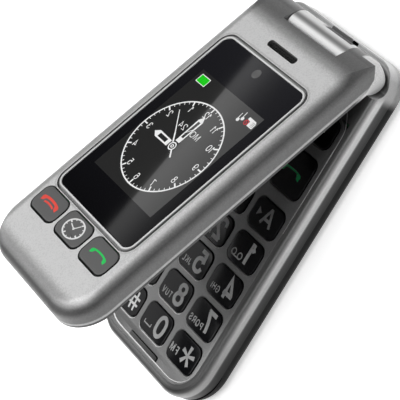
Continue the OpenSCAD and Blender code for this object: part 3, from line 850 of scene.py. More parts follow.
@dataclass(frozen=True)
class WindowFinish(Finish):
    """Dark window glass with a display behind its middle.

    Attributes:
        display: The display's darker part.
        display_light: Painted reflection making the display lighter past a slanting line.
        deep: Colours of the glass at its free end and at its hinge end, blended along the lid.
        deep_run: Places of both colours along the closed lid.
        line: Where the painted reflection's edge crosses the middle of the lid, and its slant.
        line_soft: Half the width of that edge.
        half_width: Half the display's width.
        y_low: Free end of the display, along the closed lid.
        y_high: Hinge end of the display.
        soft: Half the width of the display's edge.
        pixel_mm: Pitch of the display's picture points.
        pixel_tone: How dark the gaps between them are.
    """

    display: Colour = grey(0.03)
    display_light: Colour = grey(0.08)
    deep: tuple[Colour, Colour] = (screen(9, 9, 12), screen(30, 30, 34))
    deep_run: Point = (-30.0, 36.0)
    line: Point = (1.55, -0.245)
    line_soft: float = 0.5
    half_width: float = 16.9
    y_low: float = -19.18
    y_high: float = 23.05
    soft: float = 0.04
    pixel_mm: float = 0.24
    pixel_tone: float = 0.2

    def tint(self, graph: Graph) -> Link:
        """Black border, and the display with its fine picture points and a painted reflection.

        Args:
            graph: The material's graph.

        Returns:
            The colour.
        """
        across, run, soft = graph.along((1, 0, 0)), graph.lid_run(), self.soft
        inside = abs(across).step(self.half_width + soft, self.half_width - soft)
        inside = inside * run.step(self.y_low - soft, self.y_low + soft)
        inside = inside * run.step(self.y_high + soft, self.y_high - soft)
        # painted reflection: the display is lighter past a slanting line
        past = across - run * self.line[1] - self.line[0]
        past = past.step(-self.line_soft, self.line_soft)
        picture = graph.blend(past, self.display, self.display_light)
        ends = {0: run / self.pixel_mm, 1: 0.5}
        points = graph.node("ShaderNodeMath", {"operation": "PINGPONG"}, ends)
        lit = graph.blend(graph.number(points) * self.pixel_tone, picture, grey(0.0))
        start, end = self.deep_run
        border = graph.blend((run - start) / (end - start), *self.deep)
        return graph.blend(inside, border, lit)


# Painted shade and light: darker where the shell turns to the side, a painted highlight line low on
# the sides, and painted shade towards the hinge, the free end and the sides.
LID_SILVER = LidPaint(
    "silver_lid_paint", grey(0.78), roughness=0.4, metallic=0.25, coat=0.1, coat_roughness=0.15,
    grain_mm=0.5, grain_bump_mm=0.01, cloud_mm=7.0, cloud_tone=0.05, flake_mm=0.34, flake_tone=0.2,
    side=Side.LID,
    turn_tone=(
        (0.0, 0.215), (0.26, 0.165), (0.5, 0.15), (0.7, 0.29), (0.87, 0.56), (0.966, 0.9),
        (1.0, 1.0),
    ),
    height_tone=((12.0, 3.0), (12.9, 3.0), (13.25, 1.0), (20.0, 1.0)),
    ease=(
        (Axis.RUN, 43.0, 52.5, 0.42), (Axis.RUN, -48.5, -56.5, 0.3),
        (Axis.ACROSS, -22.4, -24.2, 0.13), (Axis.ACROSS, 21.5, 24.5, 0.035),
    ),
)  # fmt: skip
# Painted shade and light by facing, height and place: dark on faces that look up, dark low down,
# darker towards the free end.
FRAME_SILVER = HingeEndPaint(
    "silver_frame_paint", grey(0.88), roughness=0.36, metallic=0.25, specular=0.25,
    turn_tone=((0.0, 0.8), (0.26, 0.8), (0.5, 0.66), (0.77, 0.24), (0.94, 0.085), (1.0, 0.15)),
    height_tone=((4.0, 0.045), (5.0, 0.06), (7.0, 0.115), (7.4, 0.3), (7.8, 1.0), (12.0, 1.0)),
    run_tone=(
        (-59.0, 0.62), (-54.0, 0.56), (-42.0, 0.55), (-26.0, 0.77), (-10.0, 0.87), (14.0, 1.0),
        (60.0, 1.05),
    ),
)  # fmt: skip
# Painted shade: dark along the lid, full tone only at the lobes of the hinge end.
INNER_SHELL_GREY = FlakePaint(
    "grey_inner_shell", grey(0.75), roughness=0.34, metallic=0.2, side=Side.LID, flake_tone=0.06,
    run_tone=((-60.0, 0.1), (45.0, 0.1), (48.5, 1.0), (62.0, 1.0)),
)  # fmt: skip
# PlatePaint adds painted highlights on the wells' chamfers and painted light at the free end.
PLATE_GREY = PlatePaint(
    "grey_plate_paint", grey(0.8), roughness=0.38, metallic=0.4, coat=0.1, flake_tone=0.12,
    turn_tone=((0.0, 0.25), (1.0, 0.25)),
)  # fmt: skip
# Nearly black, with the painted light of HingeEndPaint at the hinge end and the free end.
DARK_CASE = HingeEndPaint(
    "dark_case_moulding", grey(0.85), roughness=0.46, turn_tone=((0.0, 0.012), (1.0, 0.012)),
    grain_mm=0.28, grain_bump_mm=0.02, cloud_tone=0.06, specular=0.12,
)  # fmt: skip
COVER_BLACK = Finish(
    "battery_cover_moulding", grey(0.022), 0.5, grain_mm=0.35, grain_tone=0.12, grain_bump_mm=0.03
)
BRIGHT_TRIM = RimPaint(
    "bright_trim_plating", grey(0.92), roughness=0.16, metallic=0.2, grain_mm=0.5,
    grain_bump_mm=0.001, side=Side.LID, flake_tone=0.02,
)  # fmt: skip
# Its grey stripe is a painted dark reflection.
BARREL_WHITE = BarrelLacquer(
    "pearl_barrel_lacquer", grey(0.97), roughness=0.35, coat=0.1, grain_mm=0.35, grain_tone=0.02,
    grain_bump_mm=0.001,
)  # fmt: skip
KEY_BLACK = Finish(
    "black_key_gloss", screen(12, 12, 15), roughness=0.1, gloss_change=0.02, grain_mm=0.5,
    grain_tone=0.08, grain_bump_mm=0.0008, specular=0.22,
)  # fmt: skip
# Painted shade: dark on the key walls, full tone only on the tops.
LID_KEY_GREY = FlakePaint(
    "grey_lid_key_moulding", grey(0.13), roughness=0.36, side=Side.LID, grain_mm=0.25,
    turn_tone=((0.0, 0.03), (0.6, 0.05), (0.85, 0.9), (1.0, 1.0)), grain_bump_mm=0.006,
    flake_tone=0.05, specular=0.35,
)  # fmt: skip
# Its display is lighter past a slanting line, a painted reflection.
WINDOW_BLACK = WindowFinish(
    "dark_window_glass", screen(13, 13, 17), roughness=0.035, gloss_change=0.008,
    grain_bump_mm=0.0, cloud_tone=0.02,
    display=screen(44, 44, 44), display_light=screen(82, 82, 82),
)  # fmt: skip
DARK_GLASS = Finish("dark_inner_glass", grey(0.006), 0.05, gloss_change=0.01, grain_bump_mm=0.0001)
DISPLAY_BACK = BrushedMetal("display_frame_steel", grey(0.35), 0.35, 0.9, grain_mm=0.2)
BOARD_GREEN = BoardFinish("circuit_board_lacquer", (0.012, 0.09, 0.035), 0.35)
GOLD = BrushedMetal("gilt_contact_plating", (0.8, 0.55, 0.2), 0.25, 1.0, grain_mm=0.15)
STEEL = BrushedMetal("steel_turned", grey(0.45), 0.3, 1.0, grain_mm=0.12)
SCREW_STEEL = BrushedMetal("screw_steel_blackened", grey(0.2), 0.35, 0.9, grain_mm=0.1)
BRASS = BrushedMetal("bush_brass_turned", (0.6, 0.42, 0.17), 0.28, 1.0, grain_mm=0.12)
DOME_STEEL = BrushedMetal("key_dome_steel", grey(0.6), 0.25, 1.0, grain_mm=0.1)
CELL_GREY = Finish("battery_wrap", grey(0.09), 0.45, grain_mm=0.8, grain_bump_mm=0.01)
RUBBER = Finish(
    "black_rubber_pad", grey(0.02), 0.6, grain_mm=0.2, grain_tone=0.15, grain_bump_mm=0.02
)
PAD_GREY = PadFinish(
    "dark_pad_strip", grey(0.06), 0.36, grain_mm=0.22, grain_tone=0.12, grain_bump_mm=0.01
)
FILM_AMBER = Finish("flex_cable_film", (0.42, 0.16, 0.03), 0.3, coat=0.3)
# Its pale end is painted light.
TORCH_GREY = TorchFinish(
    "torch_window_smoke", grey(0.15), 0.6, specular=0.1, grain_mm=0.5, grain_bump_mm=0.003
)
GUIDE_GREY = Finish("torch_guide_smoke", grey(0.2), 0.5, specular=0.1, grain_mm=0.5)
LED_RESIN = Finish("torch_led_resin", (0.75, 0.7, 0.4), 0.25, coat=0.3, grain_mm=0.5)
SPEAKER_BLACK = Finish("speaker_black_steel", grey(0.035), 0.4, 0.3, grain_mm=0.2)
MESH_DARK = Finish("speaker_mesh_dark", grey(0.05), 0.35, 0.6, grain_mm=0.2, grain_bump_mm=0.01)
CAMERA_GREY = Finish("camera_lens_grey", grey(0.13), 0.12, coat=0.5, grain_mm=0.6)
# Painted highlights: light lines at the wells' edges and the plate's free end, dimmer ones right of
# the middle.
WELL_HIGHLIGHT = Finish("plate_edge_highlight", grey(0.97), 0.3)
# Painted highlight along the plate's edge at its hinge end.
SIDE_HIGHLIGHT_GREY = Finish("plate_side_highlight_grey", grey(0.75), 0.35)
WELL_SOFT_HIGHLIGHT = Finish("well_edge_soft_highlight", grey(0.28), 0.35)
# Painted shadow: black lines round the lid keys.
KEY_SHADOW_BLACK = Finish("lid_key_shadow_black", grey(0.006), 0.6, specular=0.1)
GAP_BLACK = Finish("gap_shadow_black", grey(0.004), 0.8, grain_mm=0.5, specular=0.0)

INK_GREY = Finish("ink_light_grey", grey(0.42), 0.45, grain_tone=0.03, glow=0.0)
# Painted light: a lighter copy of the grey ink, for digits where the lid's shadow falls.
INK_PALE = Finish("ink_pale_grey", grey(0.62), 0.45, grain_tone=0.03, glow=0.0)
INK_WHITE = Finish("ink_white", grey(0.8), grain_tone=0.02, glow=0.0)
INK_RED = Finish("ink_red", screen(235, 80, 70), glow=0.0)
INK_GREEN = Finish("ink_green", screen(40, 205, 95), glow=0.0)
INK_DARK_GREEN = Finish("ink_dark_green", screen(24, 205, 120), glow=0.0)
LIT_WHITE = Finish("display_white", grey(0.85), 0.3, glow=0.12)
LIT_GREEN = Finish("display_green", screen(20, 215, 20), 0.3, glow=0.1)
LIT_DARK_GREEN = Finish("display_deep_green", screen(10, 150, 15), 0.3, glow=0.05)
LIT_RED = Finish("display_red", screen(200, 60, 70), 0.3, glow=0.1)
LIT_DARK = Finish("display_dark_grey", grey(0.06), 0.3, glow=0.0)


# ---- mesh making ----


def arc(x: float, y: float, radius: float, start: float, sweep: float, steps: int) -> list[Point]:
    """Points of an arc about a middle, with its first angle and its sweep in degrees."""
    turns = [math.radians(start + sweep * i / steps) for i in range(steps + 1)]
    return [(x + radius * math.cos(turn), y + radius * math.sin(turn)) for turn in turns]


def moved(points: Iterable[Point], x: float, y: float, share: float = 1.0) -> list[Point]:
    """Points about the origin, scaled and then moved to a place."""
    return [(x + share * px, y + share * py) for px, py in points]


def circle(radius: float, steps: int) -> list[Point]:
    """Outline of a circle about the origin, anticlockwise."""
    return arc(0.0, 0.0, radius, 0, 360, steps)[:-1]


def rounded_rectangle(width: float, height: float, radius: float, steps: int = 7) -> list[Point]:
    """Outline of a rounded rectangle about the origin, anticlockwise.

    Args:
        width: Size along x.
        height: Size along y.
        radius: Corner radius.
        steps: Parts of each corner.

    Returns:
        The outline's points.
    """
    radius = max(1e-4, min(radius, width / 2 - 1e-5, height / 2 - 1e-5))
    x, y = width / 2 - radius, height / 2 - radius
    points: list[Point] = []
    for sx, sy, start in ((1, 1, 0), (-1, 1, 90), (-1, -1, 180), (1, -1, 270)):
        points += arc(sx * x, sy * y, radius, start, 90, steps)
    return points


def linked(name: str, data: bpy.types.ID) -> bpy.types.Object:
    """A new object with given data, linked to the scene.

    Args:
        name: Its name.
        data: Its mesh, lamp or camera.

    Returns:
        The object.
    """
    made = bpy.data.objects.new(name, data)
    bpy.context.scene.collection.objects.link(made)
    return made


@dataclass
class Sculpt:
    """A mesh in the making.

    Attributes:
        name: Name of the piece.
        points: Its points in millimetres.
        faces: Its faces by the points' numbers.
    """

    name: str
    points: list[tuple[float, float, float]] = field(default_factory=list)
    faces: list[tuple[int, ...]] = field(default_factory=list)

    def ring(self, outline: Iterable[Point], z: float | Height) -> list[int]:
        """Adds a loop of points.

        Args:
            outline: The loop seen from above.
            z: Its height, or a function of x and y that gives it.

        Returns:
            The points' numbers.
        """
        first = len(self.points)
        self.points += [(x, y, z(x, y) if callable(z) else z) for x, y in outline]
        return list(range(first, len(self.points)))

    def loft(self, rings: Sequence[Sequence[int]]) -> None:
        """Joins loops of the same length with faces.

        Args:
            rings: The loops, one after another.
        """
        for low, high in zip(rings, rings[1:]):
            for a, b, c, d in zip(low, [*low[1:], low[0]], [*high[1:], high[0]], high):
                self.faces.append((a, b, c, d))

    def cap(self, loop: Sequence[int], z: float, up: bool = True) -> None:
        """Closes a loop with a fan round its middle.

        Args:
            loop: The loop.
            z: Height of the middle point.
            up: Whether the faces look up.
        """
        middle = sum((Vector(self.points[i]) for i in loop), Vector((0.0, 0.0, 0.0))) / len(loop)
        self.points.append((middle.x, middle.y, z))
        centre = len(self.points) - 1
        for start, end in zip(loop, [*loop[1:], loop[0]]):
            self.faces.append((start, end, centre) if up else (end, start, centre))

    def fill(self, outlines: Sequence[Sequence[int]], up: bool = True) -> None:
        """Fills an outline that has holes with triangles.

        Args:
            outlines: The outer loop first, then the holes.
            up: Whether the faces look up.
        """
        loops = [[Vector((*self.points[i][:2], 0.0)) for i in loop] for loop in outlines]
        flat = [i for loop in outlines for i in loop]
        for tri in tessellate_polygon(loops):
            a, b, c = (flat[i] for i in tri)
            pa, pb, pc = (self.points[i] for i in (a, b, c))
            turn = (pb[0] - pa[0]) * (pc[1] - pa[1]) - (pb[1] - pa[1]) * (pc[0] - pa[0])
            self.faces.append((a, b, c) if (turn > 0) == up else (a, c, b))

    def piece(
        self,
        finish: Finish,
        side: Side,
        body: str,
        slot: str | None = None,
        replaces: Sequence[str] = (),
        smooth_angle: float = 40.0,
    ) -> bpy.types.Object:
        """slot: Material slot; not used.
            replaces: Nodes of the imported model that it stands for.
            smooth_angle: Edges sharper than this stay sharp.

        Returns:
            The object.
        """
        turn = SIZES.turn_of(side)
        mesh = bpy.data.meshes.new(self.name)
        mesh.from_pydata([tuple((turn @ Vector(p)) * MM) for p in self.points], [], self.faces)
        mesh.validate()
        mesh.update()
        return dress(linked(self.name, mesh), finish, body, replaces, smooth_angle)


def dress(
    piece: bpy.types.Object,
    finish: Finish,
    body: str,
    replaces: Sequence[str] = (),
    smooth_angle: float = 40.0,
) -> bpy.types.Object:
    """Gives a new piece its finish and lets it ride on a body.

    Args:
        piece: The new object.
        finish: Its finish.
        body: The body that it rides on.
        replaces: Nodes that it stands for.
        smooth_angle: Edges sharper than this stay sharp.

    Returns:
        The same object.
    """
    piece.data.materials.clear()
    piece.data.materials.append(finish.material())
    piece.data.shade_smooth()
    piece.data.set_sharp_from_angle(angle=math.radians(smooth_angle))
    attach(piece, body)
    if replaces:
        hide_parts(*replaces)
    LOG.info("piece %s: %d faces on %s", piece.name, len(piece.data.polygons), body)
    return piece


# ---- legends ----


# Each sign is a width and strokes in hundredths: L straight, C curved, O curved and closed.
STROKES: dict[str, tuple[float, str]] = {
    "0": (0.62, "O 50,0 83,9 100,32 100,68 83,91 50,100 17,91 0,68 0,32 17,9"),
    "1": (0.36, "L 100,0 100,100 70,100 62,90 0,74"),
    "2": (0.62, "C 3,70 12,92 48,100 86,92 98,72 84,50 34,18 8,0/L 4,0 100,0"),
    "3": (
        0.6,
        "C 6,78 22,96 50,100 82,94 92,76 78,58 42,54/"
        "C 42,54 82,50 100,28 84,6 50,0 18,5 0,24",
    ),
    "4": (0.64, "L 76,0 76,100 0,32 0,28 100,28"),
    "5": (0.62, "L 90,100 22,100 9,50/C 9,50 28,64 52,66 86,58 100,34 88,9 50,0 16,6 0,24"),
    "6": (
        0.62,
        "C 94,80 76,97 52,100 18,88 0,48 2,30/"
        "O 50,0 86,10 100,31 86,54 52,62 16,54 0,31 14,10",
    ),
    "7": (0.6, "L 0,100 100,100 100,97/C 100,98 64,60 46,28 38,0"),
    "8": (
        0.62,
        "O 50,54 80,62 91,77 80,94 50,100 20,94 9,77 20,62/"
        "O 50,0 86,7 100,27 84,48 50,54 16,48 0,27 14,7",
    ),
    "9": (
        0.62,
        "C 6,20 24,3 48,0 82,12 100,52 98,70/"
        "O 50,100 14,90 0,69 14,46 48,38 84,46 100,69 86,90",
    ),
    "A": (0.74, "L 0,0 46,100 54,100 100,0/L 18,34 82,34"),
    "B": (0.62, "L 0,0 0,100/L 0,100 50,100/C 50,100 86,94 92,77 82,60 50,54/L 50,54 0,54/"
     "C 50,54 90,48 100,27 88,6 50,0/L 50,0 0,0"),
    "C": (0.68, "C 97,70 82,93 52,100 18,90 0,50 18,10 52,0 84,8 100,32"),
    "D": (0.66, "L 40,0 0,0 0,100 40,100/C 40,100 82,90 100,50 82,10 40,0"),
    "E": (0.58, "L 100,0 0,0 0,100 96,100/L 0,53 88,53"),
    "F": (0.54, "L 0,0 0,100 100,100/L 0,52 86,52"),
    "G": (0.72, "C 95,72 80,94 52,100 18,90 0,50 18,10 54,0 84,6 100,20/L 100,18 100,46 56,46"),
    "H": (0.64, "L 0,0 0,100/L 100,0 100,100/L 0,53 100,53"),
    "I": (0.1, "L 50,0 50,100"),
    "J": (0.46, "C 0,28 12,4 48,0 88,8 100,34/L 100,30 100,100"),
    "K": (0.62, "L 0,0 0,100/L 96,100 0,38/L 34,60 100,0"),
    "L": (0.5, "L 0,100 0,0 100,0"),
    "M": (0.76, "L 0,0 0,100 8,100 50,6 92,100 100,100 100,0"),
    "N": (0.66, "L 0,0 0,100 6,100 94,0 100,0 100,100"),
    "O": (0.74, "O 50,0 86,12 100,50 86,88 50,100 14,88 0,50 14,12"),
    "P": (0.6, "L 0,0 0,100 52,100/C 52,100 90,92 100,73 90,54 52,46/L 52,46 0,46"),
    "Q": (0.74, "O 50,0 86,12 100,50 86,88 50,100 14,88 0,50 14,12/L 62,24 100,-2"),
    "R": (0.66, "L 0,0 0,100 52,100/C 52,100 88,92 96,74 88,56 52,48/L 52,48 0,48/L 54,48 100,0"),
    "S": (0.62, "C 95,74 80,94 48,100 14,92 6,74 20,57 52,50 84,42 98,24 84,6 50,0 14,7 0,28"),
    "T": (0.62, "L 0,100 100,100/L 50,100 50,0"),
    "U": (0.64, "L 0,100 0,32/C 0,34 14,6 50,0 86,6 100,34/L 100,32 100,100"),
    "V": (0.66, "L 0,100 46,0 54,0 100,100"),
    "W": (0.92, "L 0,100 24,0 30,0 50,92 70,0 76,0 100,100"),
    "X": (0.64, "L 0,0 100,100/L 0,100 100,0"),
    "Y": (0.64, "L 0,100 50,46 100,100/L 50,48 50,0"),
    "Z": (0.62, "L 0,100 100,100 100,94 0,6 0,0 100,0"),
}


def curved(points: Sequence[Point], closed: bool, parts: int = 5) -> list[Point]:
    """A smooth line through given points.

    Args:
        points: The points.
        closed: Whether the line ends where it starts.
        parts: Parts between two points.

    Returns:
        The finer line.
    """
    count = len(points)
    made: list[Point] = []
    for i in range(count if closed else count - 1):
        if closed:
            four = [points[(i + k) % count] for k in (-1, 0, 1, 2)]
        else:
            four = [points[min(max(i + k, 0), count - 1)] for k in (-1, 0, 1, 2)]
        for step in range(parts):
            t = step / parts
            spot = []
            for axis in (0, 1):
                a, b, c, d = (p[axis] for p in four)
                square, cube = 2 * a - 5 * b + 4 * c - d, 3 * b - a - 3 * c + d
                spot.append(0.5 * (2 * b + (c - a) * t + square * t**2 + cube * t**3))
            made.append((spot[0], spot[1]))
    return made if closed else [*made, points[-1]]


def ribbon(line: Sequence[Point], width: float, closed: bool) -> tuple[list[Point], list[Point]]:
    """Both edges of a line of a given width.

    Args:
        line: The middle line.
        width: Its width.
        closed: Whether it ends where it starts.

    Returns:
        The left edge and the right edge.
    """
    left: list[Point] = []
    right: list[Point] = []
    count = len(line)
    for i in range(count):
        before = Vector(line[i - 1]) if closed or i > 0 else None
        after = Vector(line[(i + 1) % count]) if closed or i < count - 1 else None
        spot = Vector(line[i])
        ways = [spot - before if before else None, after - spot if after else None]
        ways = [way.normalized() for way in ways if way and way.length > 1e-9]
        normals = [Vector((-way.y, way.x)) for way in ways]
        mean = sum(normals, Vector((0.0, 0.0))).normalized()
        reach = width / 2 / max(0.45, mean.dot(normals[0]))
        left.append(tuple(spot + mean * reach))
        right.append(tuple(spot - mean * reach))
    return left, right


class Glyphs:
    """Plain letters and digits made of strokes of one width."""

    gap = 0.14
    space = 0.3

    def word(
        self, text: str, stroke: float, slim: float
    ) -> tuple[list[tuple[list[Point], bool]], float]:
        """The middle lines of a word, one unit high and starting at 0.

        Args:
            text: What is written.
            stroke: Width of the strokes as a share of the height.
            slim: Width of the signs as a share of their own.

        Returns:
            The lines with whether each one is closed, and the word's width.
        """
        lines: list[tuple[list[Point], bool]] = []
        place = 0.0
        for sign in text:
            if sign == " ":
                place += self.space * slim
                continue
            width, drawn = STROKES[sign]
            width *= slim
            for part in drawn.split("/"):
                kind, *spots = part.split()
                points = []
                across = max(width - stroke, 0.001)
                for spot in spots:
                    x, y = (float(n) / 100 for n in spot.split(","))
                    points.append((place + stroke / 2 + x * across, stroke / 2 + y * (1 - stroke)))
                closed = kind == "O"
                lines.append((curved(points, closed) if kind != "L" else points, closed))
            place += max(width, stroke) + self.gap + stroke * 0.35
        return lines, place - self.gap - stroke * 0.35


GLYPHS = Glyphs()


class Sign(Enum):
    """A shape that a legend draws, by the name of its method."""

    BAR = "bar"
    FACE = "face"
    HANDSET = "handset"
    HOOP = "hoop"
    TEXT = "text"


@dataclass
class Legend:
    """One printed colour on one part: signs that share a piece.

    Attributes:
        name: Name of the piece.
        origin: Where the legend's own origin lies, seen from above.
        top: Height of the printed surface at a point.
        side: Part of the phone that carries it.
        body: The body that it rides on.
        lift: Thickness of the print.
        pitch: Size of the parts that follow a curved surface, 0 for a flat one.
        sunk: How far the print's edge goes on under the surface.
    """

    name: str
    origin: Point
    top: Height
    side: Side
    body: str
    lift: float = 0.02
    pitch: float = 0.0
    sunk: float = 0.02

    def __post_init__(self) -> None:
        """Starts without signs."""
        self.flat = Sculpt(self.name)

    def _laid(self, points: Sequence[Point]) -> list[Point]:
        """Points of the legend, x read from the left, in the phone's own plan."""
        hand = -1 if MIRRORED_LEGENDS else 1
        return [(self.origin[0] + hand * x, self.origin[1] + y) for x, y in points]

    def face(self, outer: Sequence[Point], *holes: Sequence[Point]) -> None:
        """Adds a filled shape with holes, x read from the left."""
        self.flat.fill([self.flat.ring(self._laid(line), 0.0) for line in (outer, *holes)])

    def stroke(self, line: Sequence[Point], width: float, closed: bool = False) -> None:
        """Adds a line of a given width.

        Args:
            line: Its middle line.
            width: Its width.
            closed: Whether it ends where it starts.
        """
        left, right = (self._laid(edge) for edge in ribbon(line, width, closed))
        first, last = self.flat.ring(left, 0.0), self.flat.ring(right, 0.0)
        for i in range(len(line) if closed else len(line) - 1):
            j = (i + 1) % len(line)
            face = (last[i], last[j], first[j], first[i])
            self.flat.faces.append(face[::-1] if MIRRORED_LEGENDS else face)

    def text(
        self, text: str, x: float, foot: float, height: float, stroke: float, slim: float
    ) -> None:
        """Adds a text, centred across.

        Args:
            text: What is written.
            x: Middle of the text, read from the left.
            foot: Height of its foot line.
            height: Height of its signs.
            stroke: Stroke width as a share of the height.
            slim: Width as a share of the type's own.
        """
        lines, width = GLYPHS.word(text, stroke, slim)
        for line, closed in lines:
            self.stroke(moved(line, x - width * height / 2, foot, height), stroke * height, closed)

    def bar(self, start: Point, end: Point, width: float, end_width: float | None = None) -> None:
        """Adds a straight bar.

        Args:
            start: Middle of its first end.
            end: Middle of its other end.
            width: Width at the first end.
            end_width: Width at the other end, the same if left out.
        """
        last = width if end_width is None else end_width
        run = Vector((end[0] - start[0], end[1] - start[1])).normalized()
        corners = ((start, -width), (end, -last), (end, last), (start, width))
        self.face([(x - run.y * out / 2, y + run.x * out / 2) for (x, y), out in corners])

    def hoop(self, centre: Point, outer: float, inner: float, steps: int = 64) -> None:
        """Adds a round ring, by its outer and inner radius."""
        self.face(*(moved(circle(radius, steps), *centre) for radius in (outer, inner)))

    def handset(
        self, centre: Point, length: float, rise: float, band: float, lobe: float
    ) -> None:
        """Adds a telephone handset seen from the side, its back up.

        Args:
            centre: Middle of the sign.
            length: Length of the handset.
            rise: How far its back is arched.
            band: Thickness of the grip.
            lobe: Depth of both ends.
        """
        outer: list[Point] = []
        inner: list[Point] = []
        steps, arch, neck, steep = 32, 2.3, 0.66, 30
        for i in range(steps + 1):
            share = i / steps * 2 - 1
            back = centre[1] + rise * (1 - abs(share) ** arch)
            end = 1 / (1 + math.exp(-(abs(share) - neck) * steep))
            tip = max(0.0, abs(share) - 0.9) * 10
            outer.append((centre[0] + share * length / 2, back - 0.25 * lobe * tip**2))
            reach = share * (1 - 0.05 * end)
            inner.append((centre[0] + reach * length / 2, back - band - (lobe - band) * end))
        self.face(inner + outer[::-1])

    def _cut(self, solid: bmesh.types.BMesh) -> None:
        """Cuts the flat shape along a grid, so that it can follow the surface.

        Args:
            solid: The flat shape.
        """
        for axis in (0, 1):
            places = [vert.co[axis] for vert in solid.verts]
            start = math.floor(min(places) / self.pitch) * self.pitch
            count = int((max(places) - start) / self.pitch) + 1
            normal = Vector([float(i == axis) for i in range(3)])
            for i in range(1, count + 1):
                parts = [*solid.verts, *solid.edges, *solid.faces]
                spot = normal * (start + i * self.pitch)
                bmesh.ops.bisect_plane(solid, geom=parts, dist=1e-5, plane_co=spot, plane_no=normal)

    def done(self, finish: Finish, signs: Iterable[tuple] = ()) -> bpy.types.Object:
        """The legend as a piece with its own thin edge.

        Args:
            finish: Its ink.
            signs: Signs that are drawn first, each with its shape and its numbers.

        Returns:
            The object.
        """
        for shape, *numbers in signs:
            getattr(self, shape.value)(*numbers)
        solid = bmesh.new()
        for point in self.flat.points:
            solid.verts.new(point)
        solid.verts.ensure_lookup_table()
        for face in self.flat.faces:
            solid.faces.new([solid.verts[i] for i in face])
        if self.pitch > 0:
            self._cut(solid)
        rim = [edge for edge in solid.edges if len(edge.link_faces) == 1]
        raised = list(solid.verts)
        skirt = bmesh.ops.extrude_edge_only(solid, edges=rim)["geom"]
        low = [part for part in skirt if isinstance(part, bmesh.types.BMVert)]
        for verts, shift in ((raised, self.lift), (low, -self.sunk)):
            for vert in verts:
                vert.co.z = self.top(vert.co.x, vert.co.y) + shift
        solid.transform(Matrix.Scale(MM, 4) @ SIZES.turn_of(self.side))
        mesh = bpy.data.meshes.new(self.name)
        solid.to_mesh(mesh)
        solid.free()
        return dress(linked(self.name, mesh), finish, self.body, smooth_angle=30.0)


# ---- keys ----


